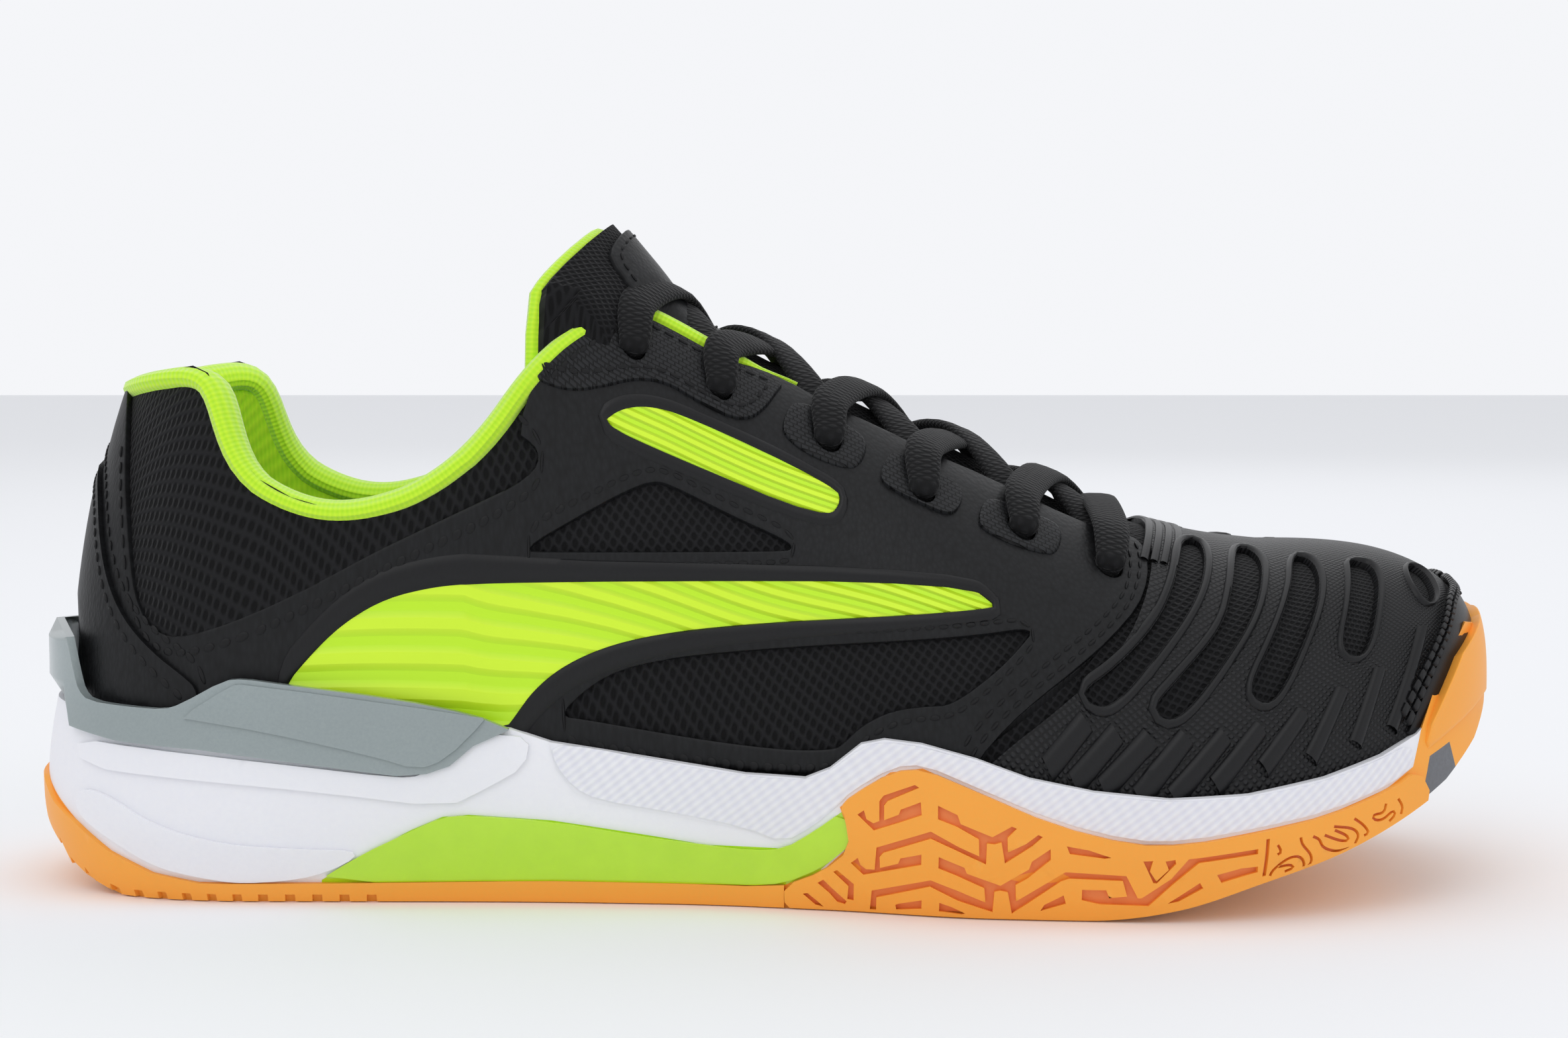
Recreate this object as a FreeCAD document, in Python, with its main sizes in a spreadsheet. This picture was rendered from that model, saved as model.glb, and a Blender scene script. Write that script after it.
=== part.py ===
"""Court shoe, right foot: a cemented rubber and EVA bottom unit under a layered mesh and leather upper.

+X runs from heel to toe, +Y is the inner (medial) side, +Z is up, and the sole stands on z = 0.
"""
import FreeCAD
import Part
import Sketcher
import math
import os
from FreeCAD import Vector

# Driving dimensions, in millimetres. They become the cells of the sheet.
SIZES = {
    "shoe_length": 296.0,       # heel bumper to toe bumper
    "sole_width": 107.0,        # across the ball of the foot
    "shoe_height": 132.0,       # floor to the tip of the tongue
    "upper_inset": 4.5,         # the upper stands this far inside the sole's edge
    "mesh_thick": 1.4,
    "overlay_thick": 1.2,
    "trim_thick": 1.0,          # what is sewn on top of the overlay
    "lining_thick": 1.2,
    "counter_thick": 1.6,
    "collar_depth": 4.6,        # mesh to collar lining: the counter and the foam
    "puff_thick": 1.2,
    "board_thick": 2.0,
    "sockliner_thick": 4.5,
    "skin_thick": 3.0,          # rubber wall on the side of the midsole
    "cage_thick": 1.6,
    "shank_thick": 2.2,
    "tongue_thick": 5.0,
    "lace_dia": 3.2,
    "eyelet_dia": 5.2,
    "aglet_dia": 3.8,
    "aglet_length": 14.0,
    "prism_depth": 90.0,        # how far a side outline is carried across the shoe
}
# The base size that the station tables below are drawn at.
BASE_LENGTH = 296.0
BASE_WIDTH = 107.0
BASE_HEIGHT = 132.0

LATERAL, MEDIAL = -1, 1

# Stations of the base size: (distance from the middle of the shoe, value).
SOLE_HALF = {
    LATERAL: [(-100, 36.3), (-60, 36.5), (-20, 38.5), (10, 43.5), (40, 50.8), (70, 53.5)],
    MEDIAL: [(-100, 35), (-60, 33.5), (-20, 31.5), (10, 34.5), (40, 43.5), (70, 53)],
}
FEATHER = [(-142, 32), (-100, 31), (-50, 29), (0, 24), (20, 25), (45, 22.5), (75, 19), (100, 21.5),
           (120, 27.5), (135, 34.5), (142.5, 38)]
RIDGE = [(-60, 165), (-50, 147), (-42, 133), (-33, 122), (-20, 114.5), (0, 104), (20, 94.5), (40, 85),
         (60, 76), (75, 71.3), (90, 68), (100, 66.8)]
ROUNDNESS = [(-142, 2.1), (-60, 2.1), (-30, 2.5), (0, 2.35), (40, 2.25), (70, 2.2), (100, 2.5), (142, 2.6)]
# Ends of the plan and of the ridge: centre, reach and exponent of each rounded end.
SOLE_HEEL, SOLE_TOE = (-100, 48, 2.3), (70, 78, 2.0)
UPPER_HEEL, UPPER_TOE = (-100, 41.5, 2.3), (70, 72.5, 2.1)
RIDGE_HEEL, RIDGE_TOE = (-60, 81.5, 2.05), (100, 42.5, 3.0)
HEEL_RISE, TOE_BASE, TOE_RISE = 135.0, 38.0, 28.8
TOE_DRIFT = 4.0                 # the tip of the toe leans this far to the inner side

# Side outlines of the base size, as (x, z) corners.
SOLE_BOTTOM = [(-148.5, 24), (-147.5, 16), (-143, 8.5), (-137, 3), (-129, 0), (60, 0), (75, 2), (92, 7.3),
               (105, 11.5), (121, 18.5), (131, 24), (139, 30.5), (145, 38), (148.5, 46)]
OUTSOLE_TOP = [(-149, 24), (-146, 21), (-137, 14), (-130, 9), (-122, 5.6), (-112, 4), (60, 4.5), (75, 6.5),
               (92, 11.5), (105, 16), (121, 23), (131, 28.5), (139, 35), (145, 42.5), (149, 50)]
SIDE_WRAP = [(0, 4), (9, 8), (15, 14), (12.5, 21), (22, 28), (28, 29), (38, 25), (52.5, 19), (67, 15.6),
             (77, 15.6), (92, 18), (104, 20), (117, 24), (123, 27), (119, 16), (105, 11), (92, 7), (75, 2), (60, 0)]
INNER_WRAP = [(20, 4), (34, 12), (67, 13), (77, 13.5), (92, 16), (104, 19), (117, 24), (123, 27), (119, 16),
              (105, 11), (92, 7), (75, 2), (60, 0)]
TOE_BUMPER = [(117, 24), (123, 27.5), (125, 34), (130.5, 45), (138, 53), (143.5, 51.5), (150, 50), (150, 36),
              (139, 28), (121, 16)]
MIDSOLE_REAR = [(-152, 10), (-152, 40), (-44.5, 40), (-43.2, 31), (-42, 27), (-38.5, 22.5), (-34, 20.4),
                (-20.5, 18.3), (-5.5, 15.8), (2, 13.3), (10, 8), (11, -3), (-140, -3)]
MIDSOLE_TOP = [(-51, 34.5), (-43, 32), (-20.5, 28.7), (-5.5, 26.6), (6, 26.2), (10.7, 28.2), (16.6, 33),
               (21, 34), (28, 33.4), (38, 31), (48, 27.6), (60, 25.3), (74, 24), (89, 24.6), (104, 27),
               (116, 30.2), (124, 33.5), (135, 42), (150, 48)]
SHANK_WING = [(-89, -2), (-88, 4.6), (-80, 9.8), (-70, 15), (-64, 17.6), (-59, 18), (-43, 17), (-13, 12.6), (2, 12.4),
              (8, 16.3), (13, 20.2), (15, 14.4), (9, 8.5), (4, -2)]
CAGE = [(-150, 37), (-138, 33.5), (-127, 31.7), (-110.6, 30.7), (-88, 27.7), (-73, 25.8), (-67, 26.2),
        (-62.5, 27.7), (-58, 31.5), (-51, 34.5), (-58, 37.4), (-73, 40.4), (-95, 43.3), (-102, 44.3),
        (-106, 44), (-114.5, 39.3), (-118, 38.2), (-134, 38.9), (-137, 40.6), (-139.5, 50.8), (-150, 51)]
HEEL_INLAY = [(-73, -1), (-71.5, 3.6), (-65, 3.6), (-63, -1)]
TOE_INLAY = [(124, 17), (127, 29), (132, 31), (134, 24)]

TOPLINE = [(-150, 97), (-134.5, 98.5), (-131, 100), (-125, 102.5), (-119.5, 103.7), (-114, 104.2),
           (-110.5, 102.6), (-108.6, 98.5), (-106.8, 92.4), (-104, 86.4), (-99.6, 81.8), (-93.5, 78.5),
           (-87.4, 76.8), (-81.4, 76.8), (-75.3, 78), (-69.3, 80.3), (-61.7, 85.3), (-55.6, 91.7),
           (-50.3, 99.3), (-45, 105.3), (-39, 110), (-31.4, 113.2), (-27, 114.1)]
THROAT_EDGE = [(-21, 111), (-10.5, 105), (2, 100), (11, 95), (20.5, 91), (31, 85.8), (42, 81.2), (53, 75.8),
               (64, 71.3), (73, 69.6), (77, 72)]
VAMP_SEAM = [(80, 90), (76, 66), (70, 58), (58, 47.5), (44, 37), (38, 30), (34, 10)]
COLLAR_WINDOW = [(-129, 96), (-127.5, 81), (-125.7, 66), (-124.6, 59.5), (-122, 54), (-117, 51.5), (-110, 52.8),
                 (-97, 58), (-79, 67.3), (-64, 74.5), (-50.3, 80.8), (-46, 84.5), (-46.5, 88.6), (-54, 92.5),
                 (-60, 110), (-125, 110)]
CENTRE_WINDOW = [(-49, 68.3), (-37.4, 75), (-28.3, 80), (-23.4, 81.6), (-8.7, 75), (3.7, 69), (2, 68.1)]
LOWER_WINDOW = [(-41.4, 36.5), (-38, 40.7), (-31, 45.3), (-20.6, 48), (2, 50.2), (24, 52), (50, 54.6),
                (41.5, 46), (33.5, 40.3), (22.6, 39), (13, 32), (2, 30.7), (-13, 32), (-28, 34.5)]
BELT_PANEL = [(-96, 42), (-88.5, 51), (-82.5, 56.4), (-75, 60.6), (-66, 62.8), (-35.7, 63.3), (36, 63.3),
              (43, 58), (17, 55.4), (-19, 52), (-31, 49.5), (-40, 45.5), (-46, 40.7), (-52, 34), (-58, 36)]
LACE_BAR = [(-34, 92), (-31, 95.3), (-24, 96), (-16, 93.6), (14, 79.7), (10, 72.4), (-20, 84.8)]
EYESTAY_PATCH = [(-47, 101.4), (-39, 98.4), (-27, 100.6), (-21, 99.8), (-15, 96), (-8.8, 93), (-5, 92.5),
                 (-2, 94.4), (3, 101), (-10, 108), (-27, 117), (-45, 108)]
HEEL_STRIP = [(-150, 89), (-138, 89), (-133.4, 78.7), (-131.8, 68.4), (-129.6, 60.8), (-126, 54.3),
              (-120, 48.3), (-111, 41), (-111, 34), (-150, 30)]
TOE_SLOTS = [
    [(58, 42), (73, 54.7), (77.6, 61.7), (80, 74), (85.5, 74), (83, 61.6), (79, 56), (62, 40)],
    [(72, 39.5), (85.6, 54), (88.5, 60.5), (90, 72), (96.5, 72), (94.6, 61.4), (91.5, 55.5), (75.5, 38)],
    [(89.8, 42.5), (95.7, 53), (100.2, 60.3), (101, 72), (107, 72), (105, 57.7), (100.7, 50.7), (93, 40.5)],
    [(108.3, 49.5), (111.2, 57.6), (112.5, 70), (119, 70), (117, 57.3), (112.3, 48.2)],
]
TOE_GUARD = [(139.6, 58.5), (134.3, 54.8), (131.5, 49.8), (128, 44.7), (124, 38.5), (121, 33), (123.6, 30.5),
             (150, 34), (150, 60)]
EYELETS = [(-27.8, 106.8), (-10.8, 98.8), (10.4, 88.8), (28.7, 79.1), (48.0, 71.8), (64.9, 64.9)]
# The tongue's ridge from its root to its tip: distance along, height above the form's ridge, half width.
TONGUE_RIDGE = [(74, -3.5, 20), (60, -1.5, 22), (35, -0.5, 25), (10, -0.5, 28), (-6, -0.5, 30), (-16, 0.5, 31),
                (-25, 6.5, 31), (-31.5, 10.5, 27)]
TONGUE_CLEAR, TONGUE_HANG_MAX = 7.6, 24.0

doc = FreeCAD.newDocument("court_shoe")
sheet = doc.addObject("Spreadsheet::Sheet", "sizes")
for row, (alias, value) in enumerate(SIZES.items(), start=1):
    sheet.set("A%d" % row, alias)
    sheet.set("B%d" % row, str(value))
    sheet.setAlias("B%d" % row, alias)
doc.recompute()


def size(alias):
    """The value of a cell of the sheet."""
    return float(sheet.get(alias))


GROW_X = size("shoe_length") / BASE_LENGTH
GROW_Y = size("sole_width") / BASE_WIDTH
GROW_Z = size("shoe_height") / BASE_HEIGHT


# ---------------------------------------------------------------- the form that the shoe is lasted on
def smooth(stations, x):
    """A smooth curve through the stations that never overshoots between two of them."""
    if x <= stations[0][0]:
        return stations[0][1]
    if x >= stations[-1][0]:
        return stations[-1][1]
    gaps = [b[0] - a[0] for a, b in zip(stations, stations[1:])]
    slopes = [(b[1] - a[1]) / g for a, b, g in zip(stations, stations[1:], gaps)]
    tangents = [slopes[0]]
    for before, after in zip(slopes, slopes[1:]):
        tangents.append(0.0 if before * after <= 0 else 2 * before * after / (before + after))
    tangents.append(slopes[-1])
    at = next(i for i in range(len(gaps)) if x <= stations[i + 1][0])
    share = (x - stations[at][0]) / gaps[at]
    rest = 1 - share
    return (stations[at][1] * (1 + 2 * share) * rest ** 2 + gaps[at] * tangents[at] * share * rest ** 2
            + stations[at + 1][1] * share ** 2 * (3 - 2 * share)
            + gaps[at] * tangents[at + 1] * share ** 2 * (share - 1))


def rounded_end(x, centre, reach, exponent):
    """1 at the centre of a rounded end, falling to 0 at its tip, as a superellipse does."""
    ratio = min(1.0, abs(x - centre) / reach)
    return (1 - ratio ** exponent) ** (1 / exponent)


def drift(x):
    """How far the shoe's centre line leans to the inner side at x."""
    return TOE_DRIFT * (max(0.0, x - SOLE_TOE[0]) / SOLE_TOE[1]) ** 2


def half_width(x, side, grow, heel, toe):
    """Half width of the plan at x on one side, grown outwards."""
    stations = SOLE_HALF[side]
    if x < heel[0]:
        return (stations[0][1] + grow) * rounded_end(x, heel[0], heel[1] + grow, heel[2])
    if x > toe[0]:
        return (stations[-1][1] + grow) * rounded_end(x, toe[0], toe[1] + grow, toe[2])
    return smooth(stations, x) + grow


def ridge_height(x, grow):
    """Height of the form's top line at x, grown outwards."""
    centre, reach, exponent = RIDGE_HEEL
    if x < centre:
        base = RIDGE[0][1] - HEEL_RISE
        return base + (HEEL_RISE + grow) * rounded_end(x, centre, reach + grow, exponent)
    centre, reach, exponent = RIDGE_TOE
    if x > centre:
        return TOE_BASE + (TOE_RISE + grow) * rounded_end(x, centre, reach + grow, exponent)
    return smooth(RIDGE, x) + grow


def form_point(x, turn, grow):
    """A point of the upper's form at station x. The turn runs from 0 at the outer feather edge to pi at the inner."""
    side = LATERAL if turn < math.pi / 2 else MEDIAL
    power = 2 / smooth(ROUNDNESS, x)
    inset = size("upper_inset")
    across = half_width(x, side, grow - inset, UPPER_HEEL[:1] + (UPPER_HEEL[1] + inset,) + UPPER_HEEL[2:],
                        UPPER_TOE[:1] + (UPPER_TOE[1] + inset,) + UPPER_TOE[2:])
    low = smooth(FEATHER, x)
    y = drift(x) + side * across * abs(math.cos(turn)) ** power
    z = low + (ridge_height(x, grow) - low) * math.sin(turn) ** power
    return graded(x, y, z)


def graded(x, y, z):
    """A point of the base size, graded to the size in the sheet."""
    return Vector(x * GROW_X, y * GROW_Y, z * GROW_Z)


HEEL_SHARES = (0.99, 0.95, 0.86, 0.66, 0.36)
TOE_SHARES = (0.36, 0.56, 0.75, 0.88, 0.95, 0.985)
MIDDLE_STATIONS = (-100, -72, -48, -33, -18, 0, 20, 42, 62, 78)
ARCH_STEPS = 14
DISH_WALL = 2.2                 # foam left standing round the foot
FIT_GAP = 0.05                  # between the foam's side and the cage
FUZZ = 0.01                     # tolerance of the foam's cuts


def form_wire(x, grow, skirt):
    """One section of the form: an arch closed by a flat bottom, which a skirt lowers under the feather edge."""
    arch = Part.BSplineCurve()
    points = [form_point(x, math.pi * i / ARCH_STEPS, grow) for i in range(ARCH_STEPS + 1)]
    arch.interpolate(points)
    edges = [arch.toShape()]
    last, first = points[-1], points[0]
    if skirt:
        corners = [last, last - Vector(0, 0, skirt), first - Vector(0, 0, skirt), first]
    else:
        corners = [last, first]
    edges += [Part.LineSegment(a, b).toShape() for a, b in zip(corners, corners[1:])]
    return Part.Wire(edges)


def form_solid(grow, skirt=0.0):
    """The form grown outwards from the mesh's outer face, as a closed solid."""
    heel_reach, toe_reach = UPPER_HEEL[1] + grow, UPPER_TOE[1] + grow
    stations = [UPPER_HEEL[0] - heel_reach * share for share in HEEL_SHARES]
    stations += MIDDLE_STATIONS
    stations += [UPPER_TOE[0] + toe_reach * share for share in TOE_SHARES]
    return Part.makeLoft([form_wire(x, grow, skirt) for x in sorted(set(stations))], True, False)


SOLE_LEVELS = [(-3, -5.5), (4, -2.5), (14, 0), (34, -1.0), (64, -1.5)]
PLAN_STEPS = 22


def plan_wire(z, grow):
    """The sole's closed outline at one height."""
    points = []
    for i in range(2 * PLAN_STEPS):
        turn = math.pi * i / PLAN_STEPS
        side = LATERAL if i <= PLAN_STEPS else MEDIAL
        back, front = SOLE_HEEL[0] - SOLE_HEEL[1] - grow, SOLE_TOE[0] + SOLE_TOE[1] + grow
        x = (back + front) / 2 - (front - back) / 2 * math.cos(turn)
        y = drift(x) + side * half_width(x, side, grow, SOLE_HEEL, SOLE_TOE)
        points.append(graded(x, y, z))
    outline = Part.BSplineCurve()
    outline.interpolate(Points=points, PeriodicFlag=True)
    return Part.Wire(outline.toShape())


def sole_solid(grow):
    """The block that the bottom unit is cut from, grown outwards all round."""
    return Part.makeLoft([plan_wire(z, flare + grow) for z, flare in SOLE_LEVELS], True, False)


# ---------------------------------------------------------------- document helpers
def feature(name, shape):
    """A free-form solid of the document."""
    made = doc.addObject("Part::Feature", name)
    made.Shape = shape
    return made


def prism(name, outline, side=None):
    """A side outline carried across the shoe, or across one half of it."""
    corners = [graded(x, 0, z) for x, z in outline]
    face = feature(name + "_outline", Part.Face(Part.makePolygon(corners + corners[:1])))
    made = doc.addObject("Part::Extrusion", name)
    made.Base = face
    made.DirMode = "Custom"
    made.Dir = Vector(0, 1 if side is None else side, 0)
    made.setExpression("LengthFwd", "sizes.prism_depth")
    if side is None:
        made.setExpression("LengthRev", "sizes.prism_depth")
    made.Solid = True
    return made


def cut(name, base, tool):
    """base without tool."""
    made = doc.addObject("Part::Cut", name)
    made.Base, made.Tool = base, tool
    return made


def common(name, *parts):
    """What all the parts share."""
    made = doc.addObject("Part::MultiCommon", name)
    made.Shapes = list(parts)
    return made


def fuse(name, *parts):
    """The parts joined into one solid."""
    made = doc.addObject("Part::MultiFuse", name)
    made.Shapes = list(parts)
    return made


def group(name, *parts):
    """Several separate solids under one name."""
    made = doc.addObject("Part::Compound", name)
    made.Links = list(parts)
    return made


SUBPARTS = []


def subpart(label, made):
    """Marks an object as a piece of the shoe and gives it its label."""
    made.Label = label
    SUBPARTS.append(made)
    return made


# ---------------------------------------------------------------- forms
overlay, mesh = size("overlay_thick"), size("mesh_thick")
trim, lining = size("trim_thick"), size("lining_thick")
SKIRT = 8.0
outer_trim = feature("form_trim", form_solid(overlay + trim))
outer_overlay = feature("form_overlay", form_solid(overlay))
over_overlay = feature("void_overlay", form_solid(overlay, SKIRT))
outer_mesh = feature("form_mesh", form_solid(0))
over_mesh = feature("void_mesh", form_solid(0, SKIRT))
inner_mesh = feature("form_lining", form_solid(-mesh))
under_mesh = feature("void_lining", form_solid(-mesh, SKIRT))
under_lining = feature("void_vamp", form_solid(-mesh - lining, SKIRT))
inner_lining = feature("form_puff", form_solid(-mesh - lining))
under_puff = feature("void_puff", form_solid(-mesh - lining - size("puff_thick"), SKIRT))
under_counter = feature("void_counter", form_solid(-mesh - size("counter_thick"), SKIRT))
inner_counter = feature("form_counter", form_solid(-mesh - size("counter_thick")))
inner_collar = feature("form_collar", form_solid(-mesh - size("collar_depth")))
under_foam = feature("void_foam", form_solid(-mesh - size("collar_depth"), SKIRT))
under_collar = feature("void_collar", form_solid(-mesh - size("collar_depth") - lining, SKIRT))
mouth = prism("mouth", TOPLINE + THROAT_EDGE + [(77, 200), (-150, 200)])

block = feature("sole_block", sole_solid(0))
block_core = feature("sole_core", sole_solid(-size("skin_thick")))
cage_outer = feature("cage_outer", sole_solid(size("cage_thick") + FIT_GAP))
cage_inner = feature("cage_inner", sole_solid(FIT_GAP))
shank_core = feature("shank_core", sole_solid(-size("shank_thick")))


def layer(name, outer, inner, opened=True, drilled=False):
    """The layer between two forms, opened by the mouth and the eyelets."""
    made = cut(name + "_layer", outer, inner)
    if opened:
        made = cut(name + "_open", made, mouth)
    if drilled:
        made = cut(name + "_drilled", made, all_drills)
    return made


def sheet_part(name, base, *keep, without=()):
    """What is left of a layer inside prisms and outside others."""
    made = common(name + "_kept", base, *keep) if keep else base
    for count, tool in enumerate(without):
        made = cut("%s_less_%d" % (name, count), made, tool)
    return made


# ---------------------------------------------------------------- eyelets
def eyelet_axis(at, side):
    """Where an eyelet crosses the overlay, and the way out of it."""
    x, z = EYELETS[at]
    low, high = smooth(FEATHER, x), ridge_height(x, overlay)
    turn = math.asin(((z - low) / (high - low)) ** (smooth(ROUNDNESS, x) / 2))
    turn = turn if side == LATERAL else math.pi - turn
    step = 0.01
    here = form_point(x, turn, overlay)
    along = form_point(x + 1, turn, overlay) - here
    round_about = form_point(x, turn + step, overlay) - here
    out = along.cross(round_about)
    out.normalize()
    if out.z < 0:
        out = out * -1
    return here, out


def eyelet_tools(side):
    """One drill for each eyelet of a side, as a compound."""
    drills = []
    for at in range(len(EYELETS)):
        here, out = eyelet_axis(at, side)
        drill = doc.addObject("Part::Cylinder", "drill")
        drill.setExpression("Radius", "sizes.eyelet_dia / 2")
        drill.Height = 16.0
        drill.Placement = FreeCAD.Placement(here - out * 8.0, FreeCAD.Rotation(Vector(0, 0, 1), out))
        drills.append(drill)
    return group("eyelet_drills", *drills)


# ---------------------------------------------------------------- the bottom unit
below = prism("under_profile", SOLE_BOTTOM + [(149, -20), (-149, -20)])
foot_bed = prism("foot_bed", [(x, smooth(FEATHER, x) - size("board_thick")) for x in range(-150, 151, 10)]
                 + [(150, 90), (-150, 90)])
dish = common("dish", feature("dish_form", sole_solid(-DISH_WALL)), foot_bed)
trimmed = cut("sole_trimmed", cut("sole_walls", block, dish), below)
slab_zone = prism("outsole_zone", [(-152, -5)] + OUTSOLE_TOP + [(152, -5)])


def bay(name, outline, core, side=None):
    """The room outside a core that a side outline takes up."""
    return cut(name + "_bay", prism(name + "_zone", outline, side), core)


outer_bay = bay("outer_wrap", SIDE_WRAP, block_core, LATERAL)
inner_bay = bay("inner_wrap", INNER_WRAP, block_core, MEDIAL)
bumper_bay = bay("bumper", TOE_BUMPER, block_core)
wing_bay = bay("wing", SHANK_WING, shank_core)
plate_zone = prism("plate_zone", [(-86, -1), (-82, 6.4), (-2, 7.0), (6, -1)])
rubber = fuse("rubber", common("outsole_slab", trimmed, slab_zone), common("outer_wrap", trimmed, outer_bay),
              common("inner_wrap", trimmed, inner_bay), common("bumper", trimmed, bumper_bay))
heel_inlay_zone = prism("heel_inlay_zone", HEEL_INLAY)
toe_inlay_zone = prism("toe_inlay_zone", TOE_INLAY)
outsole_heel_less = cut("outsole_heel_less", rubber, heel_inlay_zone)
subpart("outsole", cut("outsole_part", outsole_heel_less, toe_inlay_zone))
subpart("heel_inlay", common("heel_inlay_part", rubber, heel_inlay_zone))
subpart("toe_inlay", common("toe_inlay_part", rubber, toe_inlay_zone))
cage_zone = prism("cage_zone", CAGE)
doc.recompute()
subpart("heel_cage", feature("cage_part", cage_outer.Shape.common(cage_zone.Shape).cut(cage_inner.Shape)))

above_slab = cut("above_slab", trimmed, slab_zone)
wings = cut("wings", common("wing_blank", above_slab, wing_bay), outer_bay)
subpart("shank", fuse("shank_fused", wings, common("shank_plate", above_slab, plate_zone)))

low_zone = prism("low_zone", [(-151, -5)] + [(-151, 37.5), (-51, 34.5)] + MIDSOLE_TOP[1:] + [(151, -5)])
rear_zone = prism("rear_zone", MIDSOLE_REAR)
doc.recompute()
foam_block = above_slab.Shape.common(low_zone.Shape)


def foam_less(made, *tools):
    """A piece of the foam with each tool cut away in turn."""
    for tool in tools:
        made = made.cut([tool.Shape], FUZZ)
    return made


subpart("midsole_rear", feature("midsole_rear_part", foam_less(foam_block.common(rear_zone.Shape),
                                                              wing_bay, plate_zone)))
subpart("midsole_front", feature("midsole_front_part", foam_less(foam_block, rear_zone, outer_bay, inner_bay,
                                                                bumper_bay, wing_bay, plate_zone)))

board_zone = prism("board_zone", [(x, smooth(FEATHER, x) - size("board_thick")) for x in range(-150, 151, 10)]
                   + [(x, smooth(FEATHER, x)) for x in range(150, -151, -10)])
subpart("strobel_board", common("board_part", over_mesh, board_zone))
liner_zone = prism("liner_zone", [(x, smooth(FEATHER, x) + 0.2) for x in range(-150, 151, 10)]
                   + [(x, smooth(FEATHER, x) + 0.2 + size("sockliner_thick")) for x in range(150, -151, -10)])
under_puff_solid = feature("form_sock", form_solid(-mesh - size("collar_depth") - lining - 0.4))
subpart("sockliner", common("liner_part", under_puff_solid, liner_zone))

# ---------------------------------------------------------------- the upper
all_drills = group("all_drills", eyelet_tools(LATERAL), eyelet_tools(MEDIAL))
trim_layer = layer("trim", outer_trim, over_overlay, drilled=True)
overlay_layer = layer("overlay", outer_overlay, over_mesh, drilled=True)
mesh_layer = layer("mesh", outer_mesh, under_mesh, drilled=True)
SIDE_NAMES = {LATERAL: "outer", MEDIAL: "inner"}
quarter_room = [(-152, 0), (-152, 220), (80, 220)] + VAMP_SEAM + [(34, 0)]
for side, word in SIDE_NAMES.items():
    quarter = prism("quarter_zone_" + word, quarter_room, side)
    subpart(word + "_quarter_mesh", sheet_part("quarter_mesh_" + word, mesh_layer, quarter))
    windows = group("windows_" + word,
                    *[prism("window_%d_%s" % (count, word), outline, side) for count, outline in
                      enumerate((COLLAR_WINDOW, CENTRE_WINDOW, LOWER_WINDOW, BELT_PANEL, LACE_BAR))])
    subpart(word + "_overlay", sheet_part("overlay_" + word, overlay_layer, quarter, without=[windows]))
    for label, outline, base in (("_belt_panel", BELT_PANEL, overlay_layer), ("_lace_bar", LACE_BAR, overlay_layer),
                                 ("_eyestay_patch", EYESTAY_PATCH, trim_layer)):
        zone = prism(label[1:] + "_zone_" + word, outline, side)
        subpart(word + label, sheet_part(label[1:] + "_" + word, base, zone))
vamp_room = prism("vamp_room", list(reversed(VAMP_SEAM)) + [(152, 90), (152, 0), (34, 0)])
subpart("vamp_mesh", sheet_part("vamp", mesh_layer, vamp_room))
slots = group("toe_slots", *[prism("slot_%d" % count, outline) for count, outline in enumerate(TOE_SLOTS)])
subpart("toe_overlay", sheet_part("toe_overlay_made", overlay_layer, vamp_room, without=[slots]))
subpart("heel_strip", sheet_part("heel_strip_made", trim_layer, prism("strip_zone", HEEL_STRIP)))
subpart("toe_guard", cut("guard_part", sheet_part("guard", trim_layer, prism("guard_zone", TOE_GUARD)), rubber))

front_room = prism("front_room", [(-35, 0), (-35, 200), (160, 200), (160, 0)])
back_room = prism("back_room", [(-160, 0), (-160, 200), (-35, 200), (-35, 0)])
counter_room = prism("counter_room", [(-160, 0), (-160, 84), (-122, 78), (-86, 60), (-78, 0)])
puff_room = prism("puff_room", [(112, 0), (116, 90), (160, 90), (160, 0)])
subpart("vamp_lining", sheet_part("vamp_lining_made", layer("vamp_lining", inner_mesh, under_lining, True, True),
                                  front_room))
subpart("heel_counter", sheet_part("counter", layer("counter", inner_mesh, under_counter, False), counter_room))
subpart("collar_foam", sheet_part("collar_foam_made", layer("foam", inner_mesh, under_foam), back_room,
                                  without=[counter_room]))
subpart("heel_foam", sheet_part("heel_foam_made", layer("heel_foam", inner_counter, under_foam, False),
                                counter_room))
subpart("collar_lining", sheet_part("collar_lining_made", layer("collar", inner_collar, under_collar), back_room))
subpart("toe_puff", sheet_part("puff", layer("puff", inner_lining, under_puff, False), puff_room))


# ---------------------------------------------------------------- the tongue
def plan_half(x, side, grow):
    """Half width of the upper at its feather edge."""
    inset = size("upper_inset")
    return half_width(x, side, grow - inset, UPPER_HEEL[:1] + (UPPER_HEEL[1] + inset,) + UPPER_HEEL[2:],
                      UPPER_TOE[:1] + (UPPER_TOE[1] + inset,) + UPPER_TOE[2:])


def on_form(x, y, grow):
    """The point of the grown form that lies over (x, y), in base-size units."""
    side = LATERAL if y < drift(x) else MEDIAL
    power = smooth(ROUNDNESS, x)
    across = min(1.0, abs(y - drift(x)) / plan_half(x, side, grow))
    low = smooth(FEATHER, x)
    return Vector(x, y, low + (ridge_height(x, grow) - low) * (1 - across ** power) ** (1 / power))


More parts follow.
